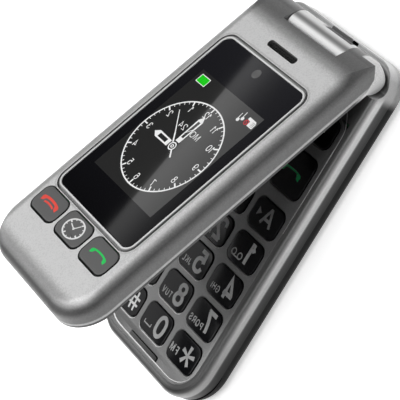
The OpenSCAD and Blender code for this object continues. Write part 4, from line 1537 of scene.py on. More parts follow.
@dataclass(frozen=True)
class KeyCap:
    """One moulded key: rounded block with a slightly crowned top over a flange.

    Attributes:
        node: The node that it stands for.
        x: Middle across.
        y: Middle along.
        width: Size across.
        height: Size along.
        radius: Corner radius.
        top: Height of the crown.
        flange: Width of the hidden flange.
        flange_low: Height of the flange's underside.
        flange_top: Height of the flange's upper side.
        lip: Size of the flange's chamfer.
        foot: Height of the nub's end.
        nub: Radius of the nub.
        crown: How far the top falls from its middle to its edge.
        edge: Radius of the top edge.
        side: Part of the phone that carries it.
        well: Clearance round the key.
        hole: Width, height and corner radius of an opening in its middle.
        shares: Loops of the top, as shares of its outline.
        fall: Power of the crown's fall.
    """

    node: str
    x: float
    y: float
    width: float
    height: float
    radius: float = 2.6
    top: float = SIZES.key_top
    flange: float = 0.5
    flange_low: float = 8.9
    flange_top: float = 9.6
    lip: float = 0.1
    foot: float = 8.35
    nub: float = 1.299
    crown: float = 0.1
    edge: float = 0.2
    side: Side = Side.BASE
    well: float = 0.15
    hole: tuple[float, float, float] | None = None
    shares: tuple[float, ...] = (0.985, 0.93, 0.82, 0.66, 0.48, 0.26, 0.1)
    fall: float = 2.4

    def surface(self, x: float, y: float, drop: float = 0.0) -> float:
        """Height of the top at a point of the plan, or of a surface that lies under it.

        Args:
            x: The point's place across.
            y: Its place along.
            drop: How far under the top the surface lies.

        Returns:
            The height.
        """
        u, v = abs(x - self.x) / (self.width / 2), abs(y - self.y) / (self.height / 2)
        falls = min(1.0, u) ** self.fall + min(1.0, v) ** self.fall
        return self.top - self.crown * falls / 2 - drop

    def _outline(self, inset: float) -> list[Point]:
        """The key's outline moved inwards.

        Args:
            inset: How far inwards.

        Returns:
            The outline.
        """
        radius = max(0.3, self.radius - inset)
        shape = rounded_rectangle(self.width - 2 * inset, self.height - 2 * inset, radius)
        return moved(shape, self.x, self.y)

    def _wall(self, sculpt: Sculpt) -> list[list[int]]:
        """The loops from the flange up to the edge of the crowned top.

        Args:
            sculpt: The mesh that they join.

        Returns:
            The loops from below.
        """
        levels = (
            (self.lip - self.flange, self.flange_low),
            (-self.flange, self.flange_low + self.lip),
            (-self.flange, self.flange_top),
            (0.03, self.flange_top),
            (0.0, self.flange_top + self.lip),
        )
        rings = [sculpt.ring(self._outline(inset), z) for inset, z in levels]
        for cos, sin in arc(0.0, 0.0, 1.0, 0, 90, 6):
            top = partial(self.surface, drop=self.edge * (1 - sin))
            rings.append(sculpt.ring(self._outline(self.edge * (1 - cos)), top))
        return rings

    def build(self, finish: Finish, slot: str) -> bpy.types.Object:
        """Builds the key.

        Args:
            finish: Its finish.
            slot: Name of a material slot, passed on to the piece.

        Returns:
            The key's object.
        """
        sculpt = Sculpt(f"{self.node}_cap")
        rings = self._wall(sculpt)
        if self.hole is None:
            inner = moved(self._outline(self.edge), -self.x, -self.y)
            for share in self.shares:
                rings.append(sculpt.ring(moved(inner, self.x, self.y, share), self.surface))
            sculpt.loft(rings)
            sculpt.cap(rings[-1], self.surface(self.x, self.y))
            nub = moved(rounded_rectangle(2.6, 2.6, self.nub), self.x, self.y)
            low, high = sculpt.ring(nub, self.foot), sculpt.ring(nub, self.flange_low)
            sculpt.loft([low, high, rings[0]])
            sculpt.cap(low, self.foot, up=False)
        else:
            width, height, radius = self.hole
            steps = ((2.4, 4.4, 1.0, 0.0), (0.5, 0.5, 0.25, 0.02), (0.0, 0.0, 0.0, 0.3))
            for wider, longer, rounder, drop in steps:
                shape = rounded_rectangle(width + wider, height + longer, radius + rounder)
                loop = moved(shape, self.x, self.y)
                rings.append(sculpt.ring(loop, partial(self.surface, drop=drop)))
            rings.append(sculpt.ring(loop, self.flange_low))
            sculpt.loft([*rings, rings[0]])
        return sculpt.piece(finish, self.side, f"{self.node}_body", slot, [self.node])

    def low_edge(self, outset: float) -> list[Point]:
        """The free-end side of the outline, with parts of both corners.

        Args:
            outset: How far it is moved outwards.

        Returns:
            The line.
        """
        radius = self.radius + outset
        reach = self.width / 2 + outset - radius
        y = self.y - (self.height / 2 + outset) + radius
        left = arc(self.x - reach, y, radius, 205, 65, 8)
        return left + arc(self.x + reach, y, radius, 270, 65, 8)

    def legend(self, name: str = "legend", lift: float = 0.02) -> Legend:
        """Starts a legend on this key."""
        spot, body = (self.x, self.y), f"{self.node}_body"
        return Legend(f"{self.node}_{name}", spot, self.surface, self.side, body, lift, 0.9)


@dataclass(frozen=True)
class Keypad:
    """All keys of the base with their legends.

    Attributes:
        size: Width and height of a key of the grid.
        rows: Its keys from the free end, each row as read from the left.
        large: Middle and size of the keys beside the navigation ring.
        digit: Middle, foot line, height, stroke and width of a digit, from its key's middle.
        letter: The same for the letters.
        words: Letters of the keys from 2 on.
        long_word: How far a word of four letters moves.
        pale: Digits in the paler ink, painted light against the lid's shadow.
        star: Middle and radius of the star.
    """

    size: tuple[float, float] = (14.0, 9.5)
    rows: tuple[str, ...] = ("star 0 hash", "7 8 9", "4 5 6", "1 2 3", "a b c")
    large: tuple[tuple[str, float, float, float, float], ...] = (
        ("key_call", 16.4, 17.85, 14.6, 13.5),
        ("key_end", -16.4, 17.85, 14.6, 13.5),
        ("key_soft_r", 16.4, 32.9, 13.9, 9.2),
        ("key_soft_l", -16.4, 32.9, 13.9, 9.2),
    )
    digit: tuple[float, ...] = (-2.75, -3.6, 7.6, 0.175, 1.06)
    letter: tuple[float, ...] = (2.9, -3.25, 2.28, 0.16, 0.98)
    words: tuple[str, ...] = ("ABC", "DEF", "GHI", "JKL", "MNO", "PQRS", "TUV", "WXYZ")
    long_word: float = -0.5
    pale: tuple[int, ...] = (1, 2, 5)
    star: tuple[float, float, float] = (-2.3, 0.05, 3.2)

    def caps(self) -> dict[str, KeyCap]:
        """Every key of the base by its node.

        Returns:
            The keys, those of the grid first.
        """
        made: list[KeyCap] = []
        for names, y in zip(self.rows, SIZES.row_y):
            for name, column in zip(names.split(), (1, 0, -1)):
                made.append(KeyCap(f"key_{name}", column * SIZES.column_x, y, *self.size))
        made += [KeyCap(*numbers) for numbers in self.large]
        middle = (0.0, 24.8)
        made.append(KeyCap("nav_ring", *middle, 15.4, 24.0, 4.0, hole=(7.9, 9.1, 2.4)))
        flush = {"flange": 0.0, "crown": 0.08, "well": 0.0}
        made.append(KeyCap("nav_ok", *middle, 7.6, 8.8, 2.3, 11.25, **flush))
        return {cap.node: cap for cap in made}

    def build(self) -> dict[str, KeyCap]:
        """Builds the keys and their legends.

        Returns:
            The keys by node.
        """
        caps = self.caps()
        for cap in caps.values():
            cap.build(KEY_BLACK, "key_black")
        for node, (ink, signs) in {**self.digits(), **self.signs()}.items():
            caps[node].legend().done(ink, signs)
        return caps

    def digits(self) -> dict[str, tuple[Finish, list[tuple]]]:
        """Ink and signs of the keys 0 to 9.

        Returns:
            Both by node.
        """
        foot, tray, rings = -2.85, -2.3, (0.9, 4.1)
        extras = {
            0: [
                (Sign.BAR, (1.3, tray), (5.0, tray), 0.35),
                (Sign.BAR, (1.35, tray), (1.35, tray + 1.0), 0.35),
                (Sign.BAR, (4.95, tray), (4.95, tray + 1.0), 0.35),
            ],
            1: [
                *((Sign.HOOP, (x, -1.9), 1.15, 0.75, 28) for x in rings),
                (Sign.BAR, (rings[0], foot), (rings[1], foot), 0.4),
            ],
        }
        for number, word in enumerate(self.words, 2):
            middle = self.letter[0] + (self.long_word if len(word) > 3 else 0.0)
            extras[number] = [(Sign.TEXT, word, middle, *self.letter[1:])]
        return {
            f"key_{number}": (
                INK_PALE if number in self.pale else INK_GREY,
                [(Sign.TEXT, str(number), *self.digit), *extras[number]],
            )
            for number in range(10)
        }

    def signs(self) -> dict[str, tuple[Finish, list[tuple]]]:
        """Ink and signs of the other keys.

        Returns:
            Both by node.
        """
        middle, pound = self.star[:2], -2.9
        big = {letter: (Sign.TEXT, letter, -1.0, -2.5, 6.0, 0.16, 1.25) for letter in "ABC"}
        slants = [
            sign
            for shift in (-1.0, 1.0)
            for sign in (
                (Sign.BAR, (pound + shift - 0.4, -3.0), (pound + shift + 0.4, 3.0), 0.75),
                (Sign.BAR, (-5.6, shift), (-0.2, shift), 0.75),
            )
        ]
        return {
            "key_star": (
                INK_GREY,
                [
                    *((Sign.BAR, middle, tip, 0.7, 1.35) for tip in arc(*self.star, 90, 288, 4)),
                    (Sign.TEXT, "FM", 4.2, -2.5, 2.7, 0.16, 1.02),
                ],
            ),
            "key_hash": (INK_WHITE, slants),
            "key_a": (INK_GREY, [big["A"], (Sign.FACE, [(4.4, -0.9), (4.4, 1.85), (2.5, 0.45)])]),
            "key_b": (INK_GREY, [big["B"]]),
            "key_c": (INK_GREY, [big["C"]]),
            "key_call": (INK_DARK_GREEN, [(Sign.HANDSET, (0.7, 0.45), 9.4, 0.55, 0.6, 1.9)]),
            "key_end": (INK_RED, [(Sign.HANDSET, (-0.7, 0.45), 9.4, 0.55, 0.6, 1.9)]),
            "key_soft_r": (INK_GREY, [(Sign.BAR, (-2.6, 0.0), (2.6, 0.0), 0.7)]),
            "key_soft_l": (INK_GREY, [(Sign.BAR, (-2.6, 0.0), (2.6, 0.0), 0.7)]),
            "nav_ring": (
                INK_GREY,
                [
                    (Sign.FACE, [(-1.5, 8.0), (1.5, 8.0), (0.0, 9.8)]),
                    (Sign.FACE, [(-1.5, -8.0), (0.0, -9.8), (1.5, -8.0)]),
                ],
            ),
            "nav_ok": (INK_GREY, [(Sign.HOOP, (0.0, 0.0), 1.9, 1.45, 40)]),
        }


@dataclass(frozen=True)
class KeypadPlate:
    """The grey plate with chamfered key wells.

    Attributes:
        half_width: Half its width.
        y_low: Its free end.
        y_high: Its hinge end.
        corner_low: Corner radius at the free end.
        corner_high: Corner radius at the hinge end.
        chamfer: Width of the chamfers.
        depth: Depth of the chamfers.
        pad: The opening of the end pad: width, height and middle.
        rim: Inset and drop of the outer edge's loops, from below.
    """

    half_width: float = 25.75
    y_low: float = -55.75
    y_high: float = 38.7
    corner_low: float = 10.25
    corner_high: float = 5.0
    chamfer: float = 0.26
    depth: float = 0.26
    pad: tuple[float, float, float] = (16.0, 1.7, -53.75)
    rim: tuple[Point, ...] = ((0.0, 0.12), (0.05, 0.04), (0.16, 0.0))

    def outline(self, inset: float) -> list[Point]:
        """The plate's outline moved inwards, anticlockwise.

        Args:
            inset: How far inwards.

        Returns:
            The outline.
        """
        points: list[Point] = []
        near, far = self.corner_low - inset, self.corner_high - inset
        low, high = self.y_low + inset + near, self.y_high - inset - far
        corners = (
            (1, high, far, 0), (-1, high, far, 90), (-1, low, near, 180), (1, low, near, 270),
        )  # fmt: skip
        for side, y, radius, start in corners:
            points += arc(side * (self.half_width - inset - radius), y, radius, start, 90, 10)
        return points

    def wells(self, caps: dict[str, KeyCap], outset: float) -> list[list[Point]]:
        """Outlines of all openings, moved outwards.

        Args:
            caps: The keys.
            outset: How far outwards.

        Returns:
            One outline for each opening.
        """
        made = []
        for cap in caps.values():
            if cap.node != "nav_ok":
                grow = 2 * (cap.well + outset)
                radius = cap.radius + outset
                shape = rounded_rectangle(cap.width + grow, cap.height + grow, radius)
                made.append(moved(shape, cap.x, cap.y))
        width, height, middle = self.pad
        shape = rounded_rectangle(width + 2 * outset, height + 2 * outset, 0.05 + outset, 3)
        return [*made, moved(shape, 0.0, middle)]

    def build(self, caps: dict[str, KeyCap]) -> bpy.types.Object:
        """Builds the plate.

        Args:
            caps: The keys that pass through it.

        Returns:
            The plate's object.
        """
        top, low = SIZES.plate_z, SIZES.plate_low
        sculpt = Sculpt("keypad_plate_face")
        outer = [sculpt.ring(self.outline(0.0), low)]
        outer += [sculpt.ring(self.outline(inset), top - drop) for inset, drop in self.rim]
        sculpt.loft(outer)
        above, below = [outer[-1]], [outer[0]]
        for wide, mid, tight in zip(
            *(self.wells(caps, self.chamfer * share) for share in (1.0, 0.9, 0.0))
        ):
            levels = ((tight, low), (tight, top - self.depth), (mid, top - 0.03), (wide, top))
            rings = [sculpt.ring(line, z) for line, z in levels]
            sculpt.loft([ring[::-1] for ring in rings])
            above.append(rings[-1])
            below.append(rings[0])
        sculpt.fill(above)
        sculpt.fill(below, up=False)
        return sculpt.piece(PLATE_GREY, Side.BASE, "base", "grey_plate", ["keypad_plate"], 28.0)


@dataclass
class Bead:
    """Fine raised lines of one finish, gathered into one piece.

    Attributes:
        name: Its name.
        finish: Its finish.
        side: Part of the phone that carries it.
        body: Body that it rides on.
    """

    name: str
    finish: Finish
    side: Side = Side.BASE
    body: str = "base"

    def __post_init__(self) -> None:
        """Starts without lines."""
        self.sculpt = Sculpt(self.name)

    def add(self, line: Sequence[Point], widths: Sequence[float], low: float, crest: float) -> None:
        """Adds one line.

        Args:
            line: Its middle line.
            widths: Its width at each point.
            low: Height of its edges.
            crest: Height of its middle.
        """
        left, right = ribbon(line, 2.0, False)
        rows: list[list[int]] = []
        for edges, share, height in ((left, 0.5, low), (right, 0.0, crest), (right, 0.5, low)):
            row = [
                (x + (away[0] - x) * share * wide, y + (away[1] - y) * share * wide)
                for (x, y), away, wide in zip(line, edges, widths)
            ]
            rows.append(self.sculpt.ring(row, height))
        for first, second in zip(rows, rows[1:]):
            for i in range(len(line) - 1):
                self.sculpt.faces.append((first[i], second[i], second[i + 1], first[i + 1]))

    def done(self) -> bpy.types.Object:
        """Makes the piece."""
        return self.sculpt.piece(self.finish, self.side, self.body)


@dataclass(frozen=True)
class EdgeLines:
    """Painted highlights at plate and wells, painted shadow lines in gaps, and the torch guide.

    Attributes:
        end_line: Middle of the painted highlight at the plate's free end, with its width at each
            point.
        end_z: Heights of this highlight's edges and crest.
        pad_line: Black line of painted shadow at the pad's opening, with its width at each point.
        pad_z: Heights of its edges and middle.
        side_line: Half of the painted highlight round the plate's hinge end.
        side_z: Heights of its edges and crest.
        well_z: Heights of the edges and crest of the painted highlights at the wells.
        well_out: How far outside a well its line runs.
        well_width: Least width of such a line, and what its middle has more.
        side_width: The same for the line round the plate's hinge end.
        soft_x: Past this place across, the painted highlights at the wells are dim.
        grid_y: Keys past this place along have no line.
        gap_z: Height of the painted shadow line in the gap between frame and back.
        gap: Width of that line at its widest.
        gap_arc: Middle and radius of its arc.
        guide_y: Middle of the torch guide along the base.
        guides: Name, ends and finish of the guide's parts.
        guide_levels: Share of the outline and height of the guide's loops.
    """

    end_line: tuple[tuple[float, float, float], ...] = (
        (-20.9, -52.5, 0.5), (-19.4, -53.3, 0.5), (-17.7, -53.97, 0.5), (-15.9, -54.36, 0.48),
        (-13.95, -54.5, 0.44), (-8.0, -54.5, 0.42), (-2.0, -54.5, 0.42), (4.0, -54.5, 0.4),
        (10.0, -54.5, 0.34), (15.5, -54.5, 0.3), (17.4, -54.35, 0.28), (19.3, -53.9, 0.25),
        (21.0, -53.2, 0.22), (22.5, -52.2, 0.18), (23.7, -51.0, 0.14), (24.6, -49.6, 0.08),
    )  # fmt: skip
    end_z: Point = (11.08, 11.16)
    pad_line: tuple[tuple[float, float, float], ...] = (
        (-7.6, -52.85, 0.2), (0.0, -52.8, 0.34), (7.8, -52.8, 0.42), (8.25, -53.1, 0.5),
        (8.3, -54.2, 0.5),
    )  # fmt: skip
    pad_z: Point = (11.1, 11.12)
    side_line: tuple[Point, ...] = (
        (25.8, 2.0), (25.85, 14.0), (25.8, 26.0), (25.75, 33.5), (25.3, 36.9), (23.6, 39.7),
        (21.4, 42.0), (18.6, 43.1), (14.0, 43.3), (5.0, 43.3),
    )  # fmt: skip
    side_z: Point = (11.0, 11.05)
    well_z: Point = (10.99, 11.03)
    well_out: float = 0.3
    well_width: Point = (0.04, 0.22)
    side_width: Point = (0.08, 0.2)
    soft_x: float = 8.0
    grid_y: float = 8.0
    gap_z: float = 4.35
    gap: float = 0.8
    gap_arc: tuple[float, float, float] = (15.5, -45.5, 13.53)
    guide_y: float = 58.06
    guides: tuple[tuple[str, float, float, Finish], ...] = (
        ("torch_guide", -4.7, 5.9, GUIDE_GREY),
        ("torch_guide_end", 5.95, 8.6, GAP_BLACK),
    )
    guide_levels: tuple[Point, ...] = ((1.0, 7.9), (1.0, 7.94), (0.97, 7.97), (0.5, 7.98))

    def _well_lines(self, caps: dict[str, KeyCap]) -> None:
        """Builds the painted highlights at the free-end sides of the key wells.

        Args:
            caps: The keys by node.
        """
        bright, soft = Bead("well_lines", WELL_HIGHLIGHT), Bead("well_highlights_soft", WELL_SOFT_HIGHLIGHT)
        least, more = self.well_width
        for cap in caps.values():
            if cap.y <= self.grid_y and cap.hole is None:
                line = cap.low_edge(cap.well + self.well_out)
                shares = [i / (len(line) - 1) for i in range(len(line))]
                widths = [least + more * math.sin(math.pi * share) ** 0.4 for share in shares]
                (soft if cap.x > self.soft_x else bright).add(line, widths, *self.well_z)
        bright.done()
        soft.done()

    def _gap(self) -> None:
        """Builds a black line of painted shadow between frame and back at the free-end corner."""
        sculpt = Sculpt("corner_gap_shadow")
        line = arc(*self.gap_arc, -95, 100, 30)
        last = len(line) - 1
        swell = [math.sin(math.pi * i / last) ** 0.7 for i in range(last + 1)]
        for sign in (-1, 1):
            heights = [self.gap_z + sign * (0.02 + self.gap * part / 2) for part in swell]
            sculpt.points += [(x, y, z) for (x, y), z in zip(line, heights)]
        for i in range(last):
            sculpt.faces.append((i, i + 1, last + 2 + i, last + 1 + i))
        sculpt.piece(GAP_BLACK, Side.BASE, "base")

    def _side_bead(self) -> None:
        """Builds the painted highlight round the plate's hinge end, fading towards its ends."""
        fine = curved(self.side_line, False, 6)
        least, more = self.side_width
        widths = [least + more * min(1.0, i / 14) for i in range(len(fine))]
        fine += [(-x, y) for x, y in reversed(fine)]
        bead = Bead("plate_side_highlight", SIDE_HIGHLIGHT_GREY)
        bead.add(fine, [*widths, *widths[::-1]], *self.side_z)
        bead.done()

    def _torch_guide(self) -> None:
        """Builds the smoked strip under the torch window, and its dark end."""
        for name, start, end, finish in self.guides:
            sculpt = Sculpt(name)
            shape = rounded_rectangle(end - start, 1.3, 0.35, 5)
            loops = [
                sculpt.ring(moved(shape, (start + end) / 2, self.guide_y, share), z)
                for share, z in self.guide_levels
            ]
            sculpt.loft(loops)
            sculpt.cap(loops[-1], self.guide_levels[-1][1])
            sculpt.piece(finish, Side.BASE, "base")

    def build(self, caps: dict[str, KeyCap]) -> None:
        """Builds all lines.

        Args:
            caps: The keys whose wells get a line.
        """
        for name, finish, line, heights in (
            ("plate_end_highlight", WELL_HIGHLIGHT, self.end_line, self.end_z),
            ("pad_gap_shadow", GAP_BLACK, self.pad_line, self.pad_z),
        ):
            bead = Bead(name, finish)
            bead.add([spot[:2] for spot in line], [spot[2] for spot in line], *heights)
            bead.done()
        self._well_lines(caps)
        self._gap()
        self._side_bead()
        self._torch_guide()


# ---- lid ----


@dataclass(frozen=True)
class OuterWindow:
    """The dark window of the lid with its softened edge, and the lens under it.

    Attributes:
        low: Height of its underside.
        edge: Inset and drop of its edge's loops, from below.
        camera_y: Middle of the camera's lens.
        camera_r: Radius of the lens that shows.
        crown: How far the lens is crowned.
    """

    low: float = 18.8
    edge: tuple[Point, ...] = ((0.0, 0.2), (0.06, 0.06), (0.2, 0.0), (0.26, 0.0), (0.6, 0.0))
    camera_y: float = 31.95
    camera_r: float = 1.6
    crown: float = 0.03

    def _outline(self, inset: float) -> list[Point]:
        """The glass outline moved inwards.

        Args:
            inset: How far inwards.

        Returns:
            The outline.
        """
        width, length, middle, radius = SIZES.window
        corner = max(0.5, radius - inset)
        shape = rounded_rectangle(width - 2 * inset, length - 2 * inset, corner, 10)
        return moved(shape, 0.0, middle)

    def build(self) -> None:
        """Builds the glass and the lens."""
        glass, top = Sculpt("outer_window"), SIZES.window_z
        rings = [glass.ring(self._outline(0.0), self.low)]
        rings += [glass.ring(self._outline(inset), top - drop) for inset, drop in self.edge]
        glass.loft(rings)
        glass.fill([rings[-1]])
        glass.fill([rings[0]], up=False)
        glass.piece(WINDOW_BLACK, Side.LID, "lid", "outer_window", ["outer_glass"], 50.0)
        lens, face = Sculpt("camera_lens"), top + 0.005
        loops = []
        for share in (1.0, 0.8, 0.55, 0.3, 0.1):
            shape = moved(circle(self.camera_r * share, 40), 0.0, self.camera_y)
            loops.append(lens.ring(shape, face + self.crown * (1 - share)))
        lens.loft(loops)
        lens.cap(loops[-1], face + self.crown)
        lens.piece(CAMERA_GREY, Side.LID, "lid", "camera_body")


@dataclass(frozen=True)
class ClockDisplay:
    """The clock and the small signs that the outer display shows.

    Attributes:
        y: Middle of the clock along the closed lid.
        radius: Middle radius of its ring.
        stroke: Width of the ring.
        numeral: Radius of the numerals' circle and their height.
        date: The made-up date.
        hands: Direction of each hollow hand; then start, shoulder and tip from the middle, half
            width at the start and at the shoulder, and start, end and half width of its hole.
        battery: Middle of the battery sign.
        cell: Start, width and pitch of the battery's cells.
        card: Outline of the card sign.
    """

    y: float = -0.12
    radius: float = 16.33
    stroke: float = 0.46
    numeral: Point = (13.3, 2.35)
    date: str = "MON 24"
    hands: tuple[tuple[float, ...], ...] = (
        (0.0, 1.9, 8.4, 10.1, 1.15, 1.25, 3.35, 7.6, 0.68),
        (90.0, 1.9, 10.8, 12.6, 0.95, 1.2, 3.7, 10.4, 0.55),
    )
    battery: Point = (13.13, 20.43)
    cell: tuple[float, float, float] = (11.0, 0.8, 0.86)
    card: tuple[Point, ...] = (
        (-12.3, 21.05), (-15.6, 21.0), (-16.35, 20.4), (-16.4, 18.45), (-13.9, 18.4),
        (-13.7, 20.0), (-12.3, 20.2),
    )  # fmt: skip

    def _print(self, name: str, ink: Finish, signs: Iterable[tuple], y: float = 0.0) -> None:
        """Prints signs of one colour on the window.

        Args:
            name: Name of the piece.
            ink: Its colour.
            signs: The signs.
            y: Place of their origin along the closed lid.
        """
        top = SIZES.window_z
        Legend(name, (0.0, y), lambda *_: top, Side.LID, "lid", 0.015).done(ink, signs)

    def _dial(self) -> list[tuple]:
        """Ring, ticks, numerals and date.

        Returns:
            The signs.
        """
        outer, inner = self.radius + self.stroke / 2, self.radius - self.stroke / 2
        signs: list[tuple] = [(Sign.HOOP, (0.0, 0.0), outer, inner, 120)]
        edge = inner + 0.05
        for tick, (x, y) in enumerate(arc(0.0, 0.0, 1.0, 90, -354, 59)):
            length, width = (1.5, 0.5) if tick % 5 == 0 else (0.75, 0.2)
            inside = edge - length
            signs.append((Sign.BAR, (x * edge, y * edge), (x * inside, y * inside), width))
        radius, size = self.numeral
        for hour, (x, y) in enumerate(arc(0.0, 0.0, radius, 60, -330, 11), 1):
            signs.append((Sign.TEXT, str(hour), x, y - size / 2, size, 0.11, 0.92))
        return [*signs, (Sign.TEXT, self.date, 0.1, 5.4, 2.2, 0.1, 1.1)]

    def _hollow_hand(self, angle: float, *numbers: float) -> tuple:
        """A hollow hand with a pointed end.

        Args:
            angle: Its direction in degrees.
            *numbers: Its measures, as in hands.

        Returns:
            The sign.
        """
        start, shoulder, tip, foot, half, hole_start, hole_end, hole_half = numbers
        run = Vector((math.cos(math.radians(angle)), math.sin(math.radians(angle))))
        side = Vector((-run.y, run.x))
        outer = ((start, -foot), (shoulder, -half), (tip, 0.0), (shoulder, half), (start, foot))
        hole = [(place, out) for out in (-hole_half, hole_half) for place in (hole_start, hole_end)]
        hole[2], hole[3] = hole[3], hole[2]
        return (
            Sign.FACE,
            *([tuple(run * reach + side * out) for reach, out in line] for line in (outer, hole)),
        )

    def _hands(self) -> list[tuple]:
        """Hollow hands, thin second hand and hub.

        Returns:
            The signs.
        """
        return [
            *(self._hollow_hand(*numbers) for numbers in self.hands),
            (Sign.BAR, (1.15, 1.05), (3.6, 3.5), 0.55, 0.45),
            (Sign.BAR, (3.6, 3.5), (10.0, 9.4), 0.36, 0.26),
            (Sign.BAR, (-1.05, -0.95), (-3.1, -2.9), 0.5),
            (Sign.HOOP, (0.0, 0.0), 1.45, 1.05, 40),
            (Sign.HOOP, (0.0, 0.0), 0.6, 0.3, 24),
        ]

    def _marks(self) -> list[tuple]:
        """Battery, signal marks and card.

        Returns:
            The signs.
        """
        boxes = (rounded_rectangle(4.75, 3.05, 0.2, 2), rounded_rectangle(4.3, 2.6, 0.15, 2))
        signs: list[tuple] = [(Sign.FACE, *(moved(box, *self.battery) for box in boxes))]
        for x, y in ((-9.49, 18.22), (-10.64, 19.26)):
            signs.append((Sign.FACE, moved(circle(0.62, 20), x, y)))
            signs.append((Sign.BAR, (x + 0.3, y), (x + 0.55, y + 2.3), 0.26))
        return [*signs, (Sign.FACE, self.card)]

    def build(self) -> None:
        """Builds everything that the display shows."""
        start, width, pitch = self.cell
        cells = [(start + pitch * i, start + width + pitch * i) for i in range(5)]
        level, feet = self.battery[1], [start - 0.02 + pitch * i for i in range(1, 5)]
        rows = ((20.3, 0.75), (19.85, 0.6), (19.4, 0.75), (18.95, 0.6))
        self._print("clock_dial", LIT_WHITE, self._dial(), self.y)
        self._print("clock_hands", LIT_WHITE, self._hands(), self.y)
        self._print("battery_sign", LIT_WHITE, self._marks())
        fills = [(Sign.BAR, (left, level), (right, level), 2.6) for left, right in cells]
        self._print("battery_fill", LIT_GREEN, fills)
        stripes = [(Sign.BAR, (x, 19.2), (x, 21.66), 0.16) for x in feet]
        self._print("battery_stripes", LIT_DARK_GREEN, stripes)
        lines = [(Sign.BAR, (-15.5 - half, y), (-15.5 + half, y), 0.2) for y, half in rows]
        self._print("card_text", LIT_DARK, lines)
        mark = (
            (Sign.HOOP, (-12.85, 19.13), 0.95, 0.65, 32),
            (Sign.BAR, (-13.4, 18.6), (-12.3, 19.7), 0.25),
        )
        self._print("card_mark", LIT_RED, mark)


@dataclass(frozen=True)
class LidKeys:
    """The three lid keys and their signs.

    Attributes:
        width: Width of a key.
        height: Height of a key.
        pitch: Distance between two keys.
        y: Middle along the closed lid.
        top: Height of their crown.
        seal_out: How far outside a key the black line of painted shadow runs.
        seal_z: Heights of its edges and middle.
        skew: Half axes of the clock sign's ring, one row for each direction of the plan.
    """

    width: float = 13.56
    height: float = 8.58
    pitch: float = 15.28
    y: float = -36.92
    top: float = 20.2
    seal_out: float = 0.3
    seal_z: Point = (19.9, 19.93)
    skew: tuple[Point, Point] = ((-1.684, -4.191), (3.285, -1.051))

    def _cap(self, node: str, column: int) -> KeyCap:
        """A lid key at its place.

        Args:
            node: The node that it stands for.
            column: Its column, -1 to 1.

        Returns:
            The key.
        """
        sizes = {"flange": 0.0, "flange_low": 17.9, "flange_top": 18.5, "foot": 16.2, "crown": 0.12}
        return KeyCap(
            node, column * self.pitch, self.y, self.width, self.height,
            top=self.top, edge=0.4, side=Side.LID, **sizes,
        )  # fmt: skip

    def _round(self, degrees: float, share: float) -> Point:
        """A point of the clock sign's ring, which looks round from where the lid is read."""
        u, v = share * math.cos(math.radians(degrees)), share * math.sin(math.radians(degrees))
        return tuple(first * u + second * v for first, second in self.skew)

    def _clock(self) -> list[tuple]:
        """Ring, ticks and hands of the clock sign.

        Returns:
            The signs.
        """
        rings = ([self._round(6 * i, share) for i in range(60)] for share in (1.0, 0.865))
        signs: list[tuple] = [(Sign.FACE, *rings)]
        for tick in range(12):
            length, width = (0.2, 0.5) if tick % 3 == 0 else (0.1, 0.3)
            ends = (self._round(30 * tick + 8, share) for share in (0.9, 0.87 - length))
            signs.append((Sign.BAR, *ends, width))
        hub = (0.0, 0.0)
        hands = ((Sign.BAR, hub, (2.4, 0.7), 0.36), (Sign.BAR, hub, (-1.5, 1.95), 0.36))
        return [*signs, *hands, (Sign.FACE, circle(0.42, 20))]

    def build(self) -> None:
        """Builds keys, black lines of painted shadow round them, and signs."""
        names = ("lid_key_end", "lid_key_clock", "lid_key_call")
        caps = [self._cap(node, column) for node, column in zip(names, (-1, 0, 1))]
        for cap in caps:
            cap.build(LID_KEY_GREY, "lid_key_grey")
        shadow_lines = Bead("lid_key_shadow_lines", KEY_SHADOW_BLACK, Side.LID, "lid")
        for cap in caps:
            line = cap.low_edge(self.seal_out)
            widths = [0.1 + 0.42 * min(1.0, (i + 1) / 9) for i in range(len(line))]
            shadow_lines.add(line, widths, *self.seal_z)
        shadow_lines.done()
        end, clock, call = caps
        handsets = (
            (Sign.HANDSET, (0.1, 0.75), 9.2, 0.75, 0.85, 1.75),
            (Sign.HANDSET, (-0.1, -0.3), 5.2, 0.35, 0.62, 0.62),
        )
        end.legend("sign").done(INK_RED, handsets)
        call.legend("sign").done(INK_GREEN, [(Sign.HANDSET, (0.0, 0.35), 8.2, 0.75, 0.6, 1.45)])
        clock.legend("sign").done(INK_WHITE, self._clock())
        ridge = [(Sign.BAR, (1.9, -1.75), (-1.8, -1.85), 0.3)]
        clock.legend("touch_ridge", 0.16).done(LID_KEY_GREY, ridge)


# ---- carried-over nodes ----


